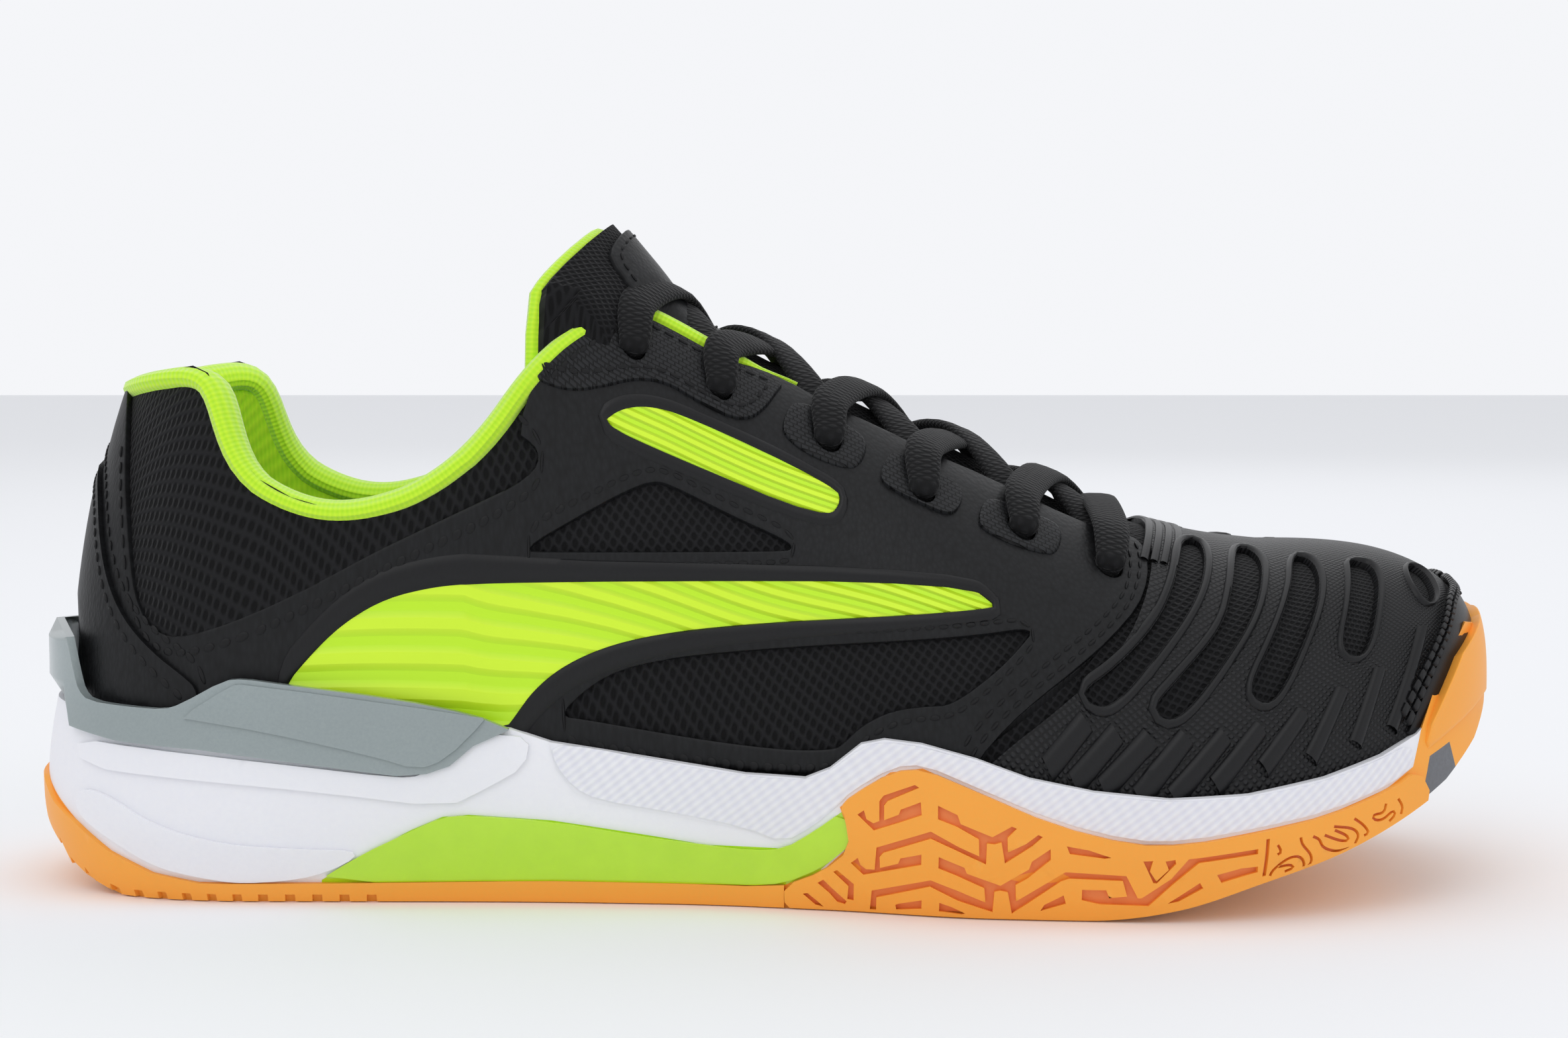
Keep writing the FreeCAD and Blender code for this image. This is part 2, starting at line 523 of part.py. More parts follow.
def tongue_frame(at):
    """The ridge point of a station of the tongue, the way square to its ridge, and how far its edges hang."""
    ridge = [Vector(x, 0, ridge_height(x, 0) + rise) for x, rise, _ in TONGUE_RIDGE]
    before, after = ridge[max(0, at - 1)], ridge[min(len(ridge) - 1, at + 1)]
    along = after - before
    along.normalize()
    up = Vector(along.z, 0, -along.x)
    half = TONGUE_RIDGE[at][2]
    hang = 0.0
    while hang < TONGUE_HANG_MAX:
        edge = ridge[at] - up * hang
        if edge.z < on_form(edge.x, half, -TONGUE_CLEAR).z and edge.z < on_form(edge.x, -half, -TONGUE_CLEAR).z:
            break
        hang += 0.25
    return ridge[at], up, hang


def tongue_wire(at, drop, thick):
    """One arched section of the tongue, square to its ridge."""
    crest, up, hang = tongue_frame(at)
    half = TONGUE_RIDGE[at][2]
    steps = 8

    def arch(depth, width):
        points = []
        for i in range(steps + 1):
            share = -1 + 2 * i / steps
            place = crest + Vector(0, share * width, 0) - up * (depth + hang * abs(share) ** 1.6)
            points.append(graded(place.x, place.y, place.z))
        return points

    top, bottom = arch(drop, half), arch(drop + thick, half)
    upper, lower = Part.BSplineCurve(), Part.BSplineCurve()
    upper.interpolate(top)
    lower.interpolate(list(reversed(bottom)))
    return Part.Wire([upper.toShape(), Part.LineSegment(top[-1], bottom[-1]).toShape(), lower.toShape(),
                      Part.LineSegment(bottom[0], top[0]).toShape()])


def tongue_layer(drop, thick, first=0):
    """A layer of the tongue, from one of its stations to its tip."""
    return Part.makeLoft([tongue_wire(at, drop, thick) for at in range(first, len(TONGUE_RIDGE))], True, False)


face_thick, foam_thick = 1.0, size("tongue_thick") - 2.0
subpart("tongue_mesh", feature("tongue_mesh_part", tongue_layer(0, face_thick)))
subpart("tongue_foam", feature("tongue_foam_part", tongue_layer(face_thick, foam_thick)))
subpart("tongue_lining", feature("tongue_lining_part", tongue_layer(face_thick + foam_thick, face_thick)))
patch_face = feature("tongue_patch_face", tongue_layer(-0.8, 0.8, 5))
patch_block = doc.addObject("Part::Box", "tongue_patch_block")
patch_block.Length, patch_block.Width, patch_block.Height = 40, 36, 60
patch_block.Placement.Base = Vector(-45, -18, 100)
subpart("tongue_patch", common("tongue_patch_part", patch_face, patch_block))


# ---------------------------------------------------------------- the lace
def rounded_path(corners):
    """Straight runs joined by tangent arcs, each as large as its two runs allow."""
    edges, start = [], corners[0]
    for before, corner, after in zip(corners, corners[1:], corners[2:]):
        back, ahead = before - corner, after - corner
        shorter = min(back.Length, ahead.Length)
        back.normalize()
        ahead.normalize()
        half_turn = (math.pi - back.getAngle(ahead)) / 2
        if half_turn < 0.02:
            continue
        reach = 0.46 * shorter
        inward = back + ahead
        inward.normalize()
        radius = reach / math.tan(half_turn)
        centre = corner + inward * math.hypot(radius, reach)
        first, last = corner + back * reach, corner + ahead * reach
        edges.append(Part.LineSegment(start, first).toShape())
        edges.append(Part.Arc(first, centre - inward * radius, last).toShape())
        start = last
    edges.append(Part.LineSegment(start, corners[-1]).toShape())
    return Part.Wire(edges)


def tube(corners):
    """A round tube of the lace along a path."""
    path = rounded_path(corners)
    start = path.Edges[0]
    way = start.tangentAt(start.FirstParameter)
    ring = Part.Wire(Part.Circle(corners[0], way, size("lace_dia") / 2).toShape())
    return path.makePipeShell([ring], True, True)


LACE_OVER, LACE_UNDER = 3.1, 5.8     # the lace's middle above and below the overlay at an eyelet
THROAT_Y = 13.0                      # where the lace comes up beside the tongue
LOW_CROWN, HIGH_CROWN = 2.3, 5.9     # the two runs of a crossing over the tongue's ridge


def graded_point(base):
    """A base-size point graded to size."""
    return graded(base.x, base.y, base.z)


def into_eyelet(at, side):
    """Corners of the lace where it comes over the eyestay's edge and down through an eyelet."""
    here, out = eyelet_axis(at, side)
    edge = graded_point(on_form(here.x / GROW_X + 1.5, here.y / GROW_Y * 0.74, overlay + LACE_OVER))
    return [edge, here + out * LACE_OVER, here - out * LACE_UNDER]


def strand(side):
    """The lace from the bottom bar up to the top eyelet, starting on one side."""
    corners = into_eyelet(5, side)
    for at in range(5, 0, -1):
        x = EYELETS[at][0]
        corners.append(graded_point(on_form(x - 1, side * THROAT_Y, -2.6)))
        middle = (EYELETS[at][0] + EYELETS[at - 1][0]) / 2
        height = HIGH_CROWN if side == LATERAL else LOW_CROWN
        corners.append(graded(middle, 0, ridge_height(middle, height)))
        side = -side
        corners += into_eyelet(at - 1, side)
    return corners, side


def tail_end(side, turn_by, x):
    """A point inside the shoe under the top eyelet, between the lining and the tongue."""
    turn = 0.95 - turn_by
    return form_point(x, turn if side == LATERAL else math.pi - turn, -4.9)


def aglet(name, start, end):
    """The sheath on one end of the lace: a padded ring."""
    body = doc.addObject("PartDesign::Body", name)
    plane = next(o for o in body.Origin.OriginFeatures if o.Role == "XY_Plane")
    sketch = body.newObject("Sketcher::SketchObject", name + "_ring")
    sketch.AttachmentSupport = [(plane, "")]
    sketch.MapMode = "FlatFace"
    sketch.addGeometry(Part.Circle(Vector(0, 0, 0), Vector(0, 0, 1), size("aglet_dia") / 2), False)
    sketch.addConstraint(Sketcher.Constraint("Coincident", 0, 3, -1, 1))
    sketch.addConstraint(Sketcher.Constraint("Diameter", 0, size("aglet_dia")))
    sketch.renameConstraint(1, "dia")
    sketch.setExpression("Constraints.dia", "sizes.aglet_dia")
    pad = body.newObject("PartDesign::Pad", name + "_sheath")
    pad.Profile = sketch
    pad.setExpression("Length", "sizes.aglet_length")
    body.Tip = pad
    body.Placement = FreeCAD.Placement(start, FreeCAD.Rotation(Vector(0, 0, 1), end - start))
    return body


ends, strands = [], []
for side in (LATERAL, MEDIAL):
    corners, last_side = strand(side)
    start, end = tail_end(last_side, 0.26, -29), tail_end(last_side, 0.52, -31)
    strands.append(corners + [start])
    subpart(SIDE_NAMES[last_side] + "_aglet", aglet(SIDE_NAMES[last_side] + "_aglet_body", start, end))
bar_x = EYELETS[5][0] + 1.5
bar = [graded(bar_x, 0, ridge_height(bar_x, LOW_CROWN))]
subpart("lace", feature("lace_part", tube(list(reversed(strands[0])) + bar + strands[1])))

# ---------------------------------------------------------------- check and write
doc.recompute()
wrong = [o.Name for o in doc.Objects if "Invalid" in o.State or "Error" in o.State]
if wrong:
    raise SystemExit("these objects failed: %s" % wrong)
os.makedirs("parts", exist_ok=True)
for old in os.listdir("parts"):
    os.remove(os.path.join("parts", old))
for piece in SUBPARTS:
    shape = piece.Shape
    solids = [s for s in shape.Solids if s.Volume > 0.5]
    state = "ok" if not shape.isNull() and shape.isValid() and solids else "BAD"
    print("%-22s %-4s solids %2d volume %9.1f" % (piece.Label, state, len(solids), sum(s.Volume for s in solids)))
    if state == "BAD":
        print("   not written")
        continue
    kept = solids[0] if len(solids) == 1 else Part.makeCompound(solids)
    kept.exportStep(os.path.join("parts", piece.Label + ".step"))
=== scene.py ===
import logging
import math
from dataclasses import dataclass, field
from enum import Enum

import bmesh
import bpy
import numpy as np
from mathutils import Matrix, Vector
from mathutils.geometry import delaunay_2d_cdt


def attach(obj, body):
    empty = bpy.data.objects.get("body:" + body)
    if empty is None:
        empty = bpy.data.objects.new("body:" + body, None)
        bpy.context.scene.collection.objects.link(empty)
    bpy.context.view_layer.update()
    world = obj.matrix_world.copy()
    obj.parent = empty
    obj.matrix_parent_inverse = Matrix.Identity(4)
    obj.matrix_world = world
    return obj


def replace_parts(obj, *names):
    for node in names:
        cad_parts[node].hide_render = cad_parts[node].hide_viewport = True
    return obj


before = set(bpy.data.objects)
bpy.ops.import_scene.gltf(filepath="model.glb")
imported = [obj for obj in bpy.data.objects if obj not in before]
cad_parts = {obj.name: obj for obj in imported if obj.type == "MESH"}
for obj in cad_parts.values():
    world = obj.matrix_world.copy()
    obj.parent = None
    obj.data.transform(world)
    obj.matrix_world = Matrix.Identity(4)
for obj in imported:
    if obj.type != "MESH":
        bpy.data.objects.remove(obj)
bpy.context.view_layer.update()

MM = 0.001
SAME_POINT = 0.02       # points of an outline closer than this, in millimetres, count as one
LATERAL, MEDIAL = -1, 1
Flat = tuple[float, float]

logging.basicConfig(level=logging.INFO, format="%(message)s")
LOG = logging.getLogger("court_shoe")


# ------------------------------------------------------------------ curves
def smooth(stations: list[Flat], x: float) -> float:
    """Read a smooth curve through stations that never overshoots.

    Args:
        stations: (place, value) pairs in order of place.
        x: where to read the curve.

    Returns:
        The value at x, held level beyond both ends.
    """
    if x <= stations[0][0]:
        return stations[0][1]
    if x >= stations[-1][0]:
        return stations[-1][1]
    gaps = [b[0] - a[0] for a, b in zip(stations, stations[1:])]
    slopes = [(b[1] - a[1]) / g for a, b, g in zip(stations, stations[1:], gaps)]
    tangents = [slopes[0]]
    for before, after in zip(slopes, slopes[1:]):
        tangents.append(0.0 if before * after <= 0 else 2 * before * after / (before + after))
    tangents.append(slopes[-1])
    at = next(i for i in range(len(gaps)) if x <= stations[i + 1][0])
    share = (x - stations[at][0]) / gaps[at]
    rest = 1 - share
    return (stations[at][1] * (1 + 2 * share) * rest ** 2 + gaps[at] * tangents[at] * share * rest ** 2
            + stations[at + 1][1] * share ** 2 * (3 - 2 * share)
            + gaps[at] * tangents[at + 1] * share ** 2 * (share - 1))


def clamp(value: float, low: float, high: float) -> float:
    """Keep a value between two limits."""
    return max(low, min(high, value))


def spaced(points: list[Flat], step: float, closed: bool = True) -> list[Flat]:
    """Add points along a line so that no two are further apart than a step.

    Args:
        points: the corners of the line.
        step: the longest gap left.
        closed: whether the last corner joins the first.

    Returns:
        The line with its corners kept.
    """
    made = []
    pairs = list(zip(points, points[1:] + points[:1])) if closed else list(zip(points, points[1:]))
    for a, b in pairs:
        count = max(1, math.ceil(math.dist(a, b) / step))
        made += [(a[0] + (b[0] - a[0]) * i / count, a[1] + (b[1] - a[1]) * i / count) for i in range(count)]
    if not closed:
        made.append(points[-1])
    return made


def rounded(points: list[Flat], times: int = 2, closed: bool = True) -> list[Flat]:
    """Round a line's corners by cutting them off, again and again.

    Args:
        points: the corners of the line.
        times: how many times every corner is cut.
        closed: whether the last corner joins the first.

    Returns:
        The rounded line.
    """
    for _ in range(times):
        pairs = list(zip(points, points[1:] + points[:1])) if closed else list(zip(points, points[1:]))
        made = [] if closed else [points[0]]
        for a, b in pairs:
            made.append((a[0] * 0.75 + b[0] * 0.25, a[1] * 0.75 + b[1] * 0.25))
            made.append((a[0] * 0.25 + b[0] * 0.75, a[1] * 0.25 + b[1] * 0.75))
        points = made if closed else made + [points[-1]]
    return points


def turned(points: list[Flat]) -> float:
    """Twice the signed area inside a closed line, above zero when it runs anticlockwise."""
    return sum(a[0] * b[1] - b[0] * a[1] for a, b in zip(points, points[1:] + points[:1]))


def inset(points: list[Flat], distance: float, closed: bool = True) -> list[Flat]:
    """Move a line sideways, inwards on a closed one and to the left on an open one.

    Args:
        points: the line, evenly and closely spaced.
        distance: how far to move it.
        closed: whether the last point joins the first.

    Returns:
        The moved line, point for point.
    """
    sign = 1.0 if not closed or turned(points) > 0 else -1.0
    made = []
    for i, here in enumerate(points):
        before = points[i - 1] if closed or i else here
        after = points[(i + 1) % len(points)] if closed or i + 1 < len(points) else here
        dx, dy = after[0] - before[0], after[1] - before[1]
        size = math.hypot(dx, dy) or 1.0
        made.append((here[0] - sign * dy / size * distance, here[1] + sign * dx / size * distance))
    return made


def even(points: list[Flat], step: float, closed: bool = True) -> list[Flat]:
    """Walk along a line in even steps.

    Args:
        points: the line.
        step: the rough length of a step.
        closed: whether the last point joins the first.

    Returns:
        Evenly spaced points.
    """
    line = points + points[:1] if closed else list(points)
    lengths = [0.0]
    for a, b in zip(line, line[1:]):
        lengths.append(lengths[-1] + math.dist(a, b))
    count = max(2, round(lengths[-1] / step))
    made, at = [], 0
    for i in range(count if closed else count + 1):
        goal = lengths[-1] * i / count
        while at < len(lengths) - 2 and lengths[at + 1] < goal:
            at += 1
        gap = lengths[at + 1] - lengths[at] or 1.0
        share = clamp((goal - lengths[at]) / gap, 0, 1)
        made.append(tuple(a + (b - a) * share for a, b in zip(line[at], line[at + 1])))
    return made


# ------------------------------------------------------------------ surfaces that patterns are laid on
SOLE_HALF = {
    LATERAL: [(-100, 36.3), (-60, 36.5), (-20, 38.5), (10, 43.5), (40, 50.8), (70, 53.5)],
    MEDIAL: [(-100, 35), (-60, 33.5), (-20, 31.5), (10, 34.5), (40, 43.5), (70, 53)],
}


def drift(x: float) -> float:
    """How far the centre line leans to the inner side at x."""
    return 4.0 * (max(0.0, x - 70) / 78) ** 2


class Surface:
    """Something that a flat pattern can be laid on."""

    def flat(self, x: float, z: float) -> Flat:
        """The pattern's point that lies at x and z on the outer side."""
        raise NotImplementedError

    def mirrored(self, point: Flat) -> Flat:
        """The same pattern point on the inner side."""
        raise NotImplementedError

    def place(self, u: float, v: float, grow: float) -> Vector:
        """Where a pattern's point lies on the surface grown outwards, in millimetres."""
        raise NotImplementedError

    def lay(self, bm: bmesh.types.BMesh, low: float = 0.0) -> None:
        """Bend a flat piece onto the surface, with its height as its growth.

        Args:
            bm: the flat piece, in millimetres.
            low: growth of the piece's underside.
        """
        for vert in bm.verts:
            vert.co = self.place(vert.co.x, vert.co.y, low + vert.co.z) * MM

    def outward(self, u: float, v: float, grow: float) -> Vector:
        """The unit normal of the surface at a pattern's point."""
        here = self.place(u, v, grow)
        along = self.place(u + 0.3, v, grow) - here
        across = self.place(u, v + 0.3, grow) - here
        return along.cross(across).normalized()


@dataclass
class Last(Surface):
    """The form that the upper is pulled over."""

    arc: float = 40.0
    heel: tuple[float, float, float] = (-100, 41.5, 2.3)
    toe: tuple[float, float, float] = (70, 72.5, 2.1)
    inset: float = 4.5
    feather: list[Flat] = field(default_factory=lambda: [
        (-142, 32), (-100, 31), (-50, 29), (0, 24), (20, 25), (45, 22.5), (75, 19), (100, 21.5), (120, 27.5),
        (135, 34.5), (142.5, 38)])
    crest: list[Flat] = field(default_factory=lambda: [
        (-60, 165), (-50, 147), (-42, 133), (-33, 122), (-20, 114.5), (0, 104), (20, 94.5), (40, 85), (60, 76),
        (75, 71.3), (90, 68), (100, 66.8)])
    roundness: list[Flat] = field(default_factory=lambda: [
        (-142, 2.1), (-60, 2.1), (-30, 2.5), (0, 2.35), (40, 2.25), (70, 2.2), (100, 2.5), (142, 2.6)])

    def walk(self, x: float) -> float:
        """The pattern's length coordinate at x, which runs on round the two ends."""
        centre, reach, power = self.heel
        if x < centre:
            return centre - math.asin(clamp((centre - x) / reach, 0, 1) ** (power / 2)) * reach
        centre, reach, power = self.toe
        if x > centre:
            return centre + math.asin(clamp((x - centre) / reach, 0, 1) ** (power / 2)) * reach
        return x

    def unwalk(self, u: float, grow: float) -> float:
        """The x of a length coordinate on the form grown outwards."""
        centre, reach, power = self.heel
        if u < centre:
            return centre - (reach + grow) * math.sin(min(math.pi / 2, (centre - u) / reach)) ** (2 / power)
        centre, reach, power = self.toe
        if u > centre:
            return centre + (reach + grow) * math.sin(min(math.pi / 2, (u - centre) / reach)) ** (2 / power)
        return u

    def half(self, x: float, side: int, grow: float) -> float:
        """Half width at the feather edge on one side."""
        for (centre, reach, power), sign, base in ((self.heel, -1, SOLE_HALF[side][0][1]),
                                                   (self.toe, 1, SOLE_HALF[side][-1][1])):
            if sign * (x - centre) > 0:
                ratio = min(1.0, abs(x - centre) / (reach + grow))
                return (base - self.inset + grow) * (1 - ratio ** power) ** (1 / power)
        return smooth(SOLE_HALF[side], x) - self.inset + grow

    def ridge(self, x: float, grow: float) -> float:
        """Height of the form's top line at x."""
        if x < -60:
            ratio = min(1.0, (-60 - x) / (81.5 + grow))
            return 30 + (135 + grow) * (1 - ratio ** 2.05) ** (1 / 2.05)
        if x > 100:
            ratio = min(1.0, (x - 100) / (42.5 + grow))
            return 38 + (28.8 + grow) * (1 - ratio ** 3) ** (1 / 3)
        return smooth(self.crest, x) + grow

    def low(self, x: float) -> float:
        """Height of the feather edge at x."""
        return smooth(self.feather, x)

    def flat(self, x: float, z: float) -> Flat:
        """The pattern's point at x and z on the outer side."""
        x = clamp(x, self.heel[0] - self.heel[1] + 0.01, self.toe[0] + self.toe[1] - 0.01)
        low, high = self.low(x), self.ridge(x, 0)
        share = clamp((z - low) / max(1e-6, high - low), 0, 1)
        return self.walk(x), math.asin(share ** (smooth(self.roundness, x) / 2)) * self.arc

    def centre(self, x: float) -> Flat:
        """The pattern's point on the centre line at x."""
        return self.walk(x), math.pi / 2 * self.arc

    def mirrored(self, point: Flat) -> Flat:
        """The same point on the inner side."""
        return point[0], math.pi * self.arc - point[1]

    def place(self, u: float, v: float, grow: float) -> Vector:
        """Where a pattern's point lies on the grown form."""
        x = self.unwalk(u, grow)
        turn = clamp(v / self.arc, 0.0, math.pi)
        side = LATERAL if turn < math.pi / 2 else MEDIAL
        power = 2 / smooth(self.roundness, x)
        low = self.low(x)
        y = drift(x) + side * self.half(x, side, grow) * abs(math.cos(turn)) ** power
        return Vector((x, y, low + (self.ridge(x, grow) - low) * max(0.0, math.sin(turn)) ** power))


@dataclass
class SoleWall(Surface):
    """The bottom unit's side, unrolled from the heel's back round the outer side, toe and inner side."""

    heel: tuple[float, float, float] = (-100, 48, 2.3)
    toe: tuple[float, float, float] = (70, 78, 2.0)
    flare: list[Flat] = field(default_factory=lambda: [
        (-3, -5.5), (4, -2.5), (9, -1.2), (14, 0), (18, 0.35), (22, 0.42), (26, 0.25), (30, -0.25), (34, -0.85),
        (38, -1.4), (44, -1.7), (64, -1.5)])

    @property
    def back(self) -> float:
        """The length coordinate of the heel's back before the fold."""
        return self.heel[0] - math.pi / 2 * self.heel[1]

    @property
    def length(self) -> float:
        """Pattern length of one side from heel to toe."""
        return self.toe[0] + math.pi / 2 * self.toe[1] - self.back

    def flat(self, x: float, z: float) -> Flat:
        """The pattern's point at x and z on the outer side."""
        centre, reach, power = self.heel
        if x < centre:
            s = centre - math.asin(clamp((centre - x) / reach, 0, 1) ** (power / 2)) * reach
            return s - self.back, z
        centre, reach, power = self.toe
        if x > centre:
            s = centre + math.asin(clamp((x - centre) / reach, 0, 1) ** (power / 2)) * reach
            return s - self.back, z
        return x - self.back, z

    def mirrored(self, point: Flat) -> Flat:
        """The same point on the inner side, reached round the heel."""
        return -point[0], point[1]

    def mirrored_by_toe(self, point: Flat) -> Flat:
        """The same point on the inner side, reached round the toe."""
        return 2 * self.length - point[0], point[1]

    def place(self, u: float, v: float, grow: float) -> Vector:
        """Where a pattern's point lies on the grown wall."""
        side = LATERAL if 0 <= u <= self.length else MEDIAL
        s = self.back + (abs(u) if u < 0 else u if u <= self.length else 2 * self.length - u)
        out = smooth(self.flare, v) + grow
        heel, heel_reach, heel_power = self.heel
        toe, toe_reach, toe_power = self.toe
        if s < heel:
            angle = min(math.pi / 2, (heel - s) / heel_reach)
            x = heel - (heel_reach + out) * math.sin(angle) ** (2 / heel_power)
            half = (SOLE_HALF[side][0][1] + out) * max(0.0, math.cos(angle)) ** (2 / heel_power)
        elif s > toe:
            angle = min(math.pi / 2, (s - toe) / toe_reach)
            x = toe + (toe_reach + out) * math.sin(angle) ** (2 / toe_power)
            half = (SOLE_HALF[side][-1][1] + out) * max(0.0, math.cos(angle)) ** (2 / toe_power)
        else:
            x = s
            half = smooth(SOLE_HALF[side], x) + out
        return Vector((x, drift(x) + side * half, v))


LAST = Last()
WALL = SoleWall()
CREST = math.pi / 2 * LAST.arc                          # the pattern's height along the centre line
TOE_FOLD = LAST.toe[0] + math.pi / 2 * LAST.toe[1]      # the pattern's length at the toe's tip
FEATHER_BACK = -141.2                                   # x of the upper's foot at the heel's middle


# ------------------------------------------------------------------ flat pieces
def inside(points: np.ndarray, lines: list[list[Flat]]) -> np.ndarray:
    """Tell which points lie inside an odd number of closed lines."""
    within = np.zeros(len(points), dtype=bool)
    for line in lines:
        for (ax, ay), (bx, by) in zip(line, line[1:] + line[:1]):
            if ay == by:
                continue
            crossed = (ay > points[:, 1]) != (by > points[:, 1])
            within ^= crossed & (points[:, 0] < (bx - ax) * (points[:, 1] - ay) / (by - ay) + ax)
    return within


def filled(lines: list[list[Flat]], reach: float, clear: float) -> bmesh.types.BMesh:
    """Fill the space between closed lines with even triangles.

    Args:
        lines: the outer line and the holes.
        reach: rough length of an edge.
        clear: width along the lines that is left without points, for the broken edge.

    Returns:
        The flat mesh.
    """
    corners = np.array([p for line in lines for p in line])
    low, high = corners.min(axis=0), corners.max(axis=0)
    rows = np.arange(low[1] + reach * 0.5, high[1], reach * 0.866)
    grid = np.array([(x + (i % 2) * reach / 2, y) for i, y in enumerate(rows)
                     for x in np.arange(low[0] + reach * 0.4, high[0], reach)]).reshape(-1, 2)
    grid = grid[inside(grid, lines)] if len(grid) else grid
    if len(grid):
        nearest = np.full(len(grid), 1e9)
        for line in lines:
            for a, b in zip(line, line[1:] + line[:1]):
                a, way = np.array(a), np.array(b) - np.array(a)
                share = np.clip(((grid - a) @ way) / max(1e-9, way @ way), 0, 1)
                nearest = np.minimum(nearest, np.hypot(*(grid - a - share[:, None] * way).T))
        grid = grid[nearest > max(reach * 0.42, clear)]
    verts, edges = [], []
    for line in lines:
        first = len(verts)
        verts += [Vector(p) for p in line]
        edges += [(first + i, first + (i + 1) % len(line)) for i in range(len(line))]
    verts += [Vector(p) for p in grid]
    places, _, faces, *_ = delaunay_2d_cdt(verts, edges, [], 0, 1e-5)
    centres = np.array([[sum(places[i][axis] for i in face) / 3 for axis in (0, 1)] for face in faces])
    bm = bmesh.new()
    made = [bm.verts.new((p[0], p[1], 0.0)) for p in places]
    for face, keep in zip(faces, inside(centres, lines)):
        if keep:
            bm.faces.new([made[i] for i in face])
    bmesh.ops.delete(bm, geom=[v for v in bm.verts if not v.link_faces], context="VERTS")
    bmesh.ops.recalc_face_normals(bm, faces=bm.faces[:])
    if bm.faces and sum(f.normal.z for f in bm.faces) < 0:
        bmesh.ops.reverse_faces(bm, faces=bm.faces[:])
    return bm


def cut_piece(outline: list[Flat], holes: list[list[Flat]] | None = None, thick: float = 1.2,
              reach: float = 2.4, edge: float = 0.3) -> bmesh.types.BMesh:
    """Cut a flat piece with holes, give it its thickness and break its top edges.

    Args:
        outline: the piece's outer line.
        holes: lines of the holes in it.
        thick: the material's thickness.
        reach: the longest mesh edge left.
        edge: width of the broken edge, or 0 for a sharp one.

    Returns:
        The flat piece, lying on height 0, with its pattern kept as its UV map.
    """
    lines = [[p for i, p in enumerate(line) if math.dist(p, line[i - 1]) > SAME_POINT]
             for line in [outline] + (holes or [])]
    bm = filled(lines, reach, edge * 2.3)
    bmesh.ops.extrude_face_region(bm, geom=bm.faces[:], use_keep_orig=True)
    bm.verts.index_update()
    half = len(bm.verts) // 2
    bm.verts.ensure_lookup_table()
    top = bm.verts[half:]
    for vert in top:
        vert.co.z = thick
    bmesh.ops.recalc_face_normals(bm, faces=bm.faces[:])
    if edge:
        rim = [e for e in bm.edges if len(e.link_faces) == 2 and all(v.co.z > thick * 0.5 for v in e.verts)
               and min(abs(f.normal.z) for f in e.link_faces) < 0.5]
        bmesh.ops.bevel(bm, geom=rim, offset=edge, offset_type="OFFSET", segments=2, profile=0.5,
                        affect="EDGES", clamp_overlap=True, material=-1)
    keep_pattern(bm)
    return bm


def keep_pattern(bm: bmesh.types.BMesh) -> None:
    """Store a flat piece's own millimetres as its UV map."""
    uv = bm.loops.layers.uv.verify()
    for face in bm.faces:
        for loop in face.loops:
            loop[uv].uv = (loop.vert.co.x, loop.vert.co.y)


def add_ridge(bm: bmesh.types.BMesh, line: list[Flat], width: float, height: float, low: float = 0.0,
              closed: bool = True) -> None:
    """Lay a half-round bead along a line of a flat piece.

    Args:
        bm: the flat piece that it is added to.
        line: the bead's middle.
        width: its width.
        height: its height above low.
        low: the height it stands on.
        closed: whether it runs right round.
    """
    steps = 5
    ring = [(math.cos(math.pi * i / steps) * width / 2, math.sin(math.pi * i / steps) * height + low)
            for i in range(steps + 1)]
    made = []
    offsets = [inset(line, across, closed) for across, _ in ring]
    for i in range(len(line)):
        made.append([bm.verts.new((offsets[k][i][0], offsets[k][i][1], ring[k][1])) for k in range(steps + 1)])
    pairs = list(zip(made, made[1:] + made[:1])) if closed else list(zip(made, made[1:]))
    for a, b in pairs:
        for k in range(steps):
            bm.faces.new((a[k], a[k + 1], b[k + 1], b[k]))


def new_object(name: str, data: bpy.types.ID) -> bpy.types.Object:
    """Put a new object into the scene."""
    made = bpy.data.objects.new(name, data)
    bpy.context.scene.collection.objects.link(made)
    return made


def piece(name: str, bm: bmesh.types.BMesh, finish: "Finish", smooth_angle: float = 40.0) -> bpy.types.Object:
    """Turn a finished mesh into a piece of the shoe.

    Args:
        name: the piece's name.
        bm: its mesh, in metres and in place.
        finish: what it is made of.
        smooth_angle: edges sharper than this stay sharp, in degrees.

    Returns:
        The new object, riding on the shoe.
    """
    mesh = bpy.data.meshes.new(name)
    bm.normal_update()
    for edge in bm.edges:
        if len(edge.link_faces) == 2:
            edge.smooth = edge.calc_face_angle(0.0) < math.radians(smooth_angle)
    for face in bm.faces:
        face.smooth = True
    bm.to_mesh(mesh)
    bm.free()
    made = new_object(name, mesh)
    mesh.materials.append(finish.material())
    weighting = made.modifiers.new("broad_faces_first", "WEIGHTED_NORMAL")
    weighting.weight, weighting.keep_sharp = 80, True
    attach(made, "root")
    LOG.info("%s: %d faces", name, len(mesh.polygons))
    return made


def beads(name: str, bm: bmesh.types.BMesh) -> None:
    """Bend beads that were laid flat onto the form, and make them a piece of smooth film."""
    keep_pattern(bm)
    LAST.lay(bm, 0.0)
    bmesh.ops.recalc_face_normals(bm, faces=bm.faces[:])
    piece(name, bm, SMOOTH_FILM)


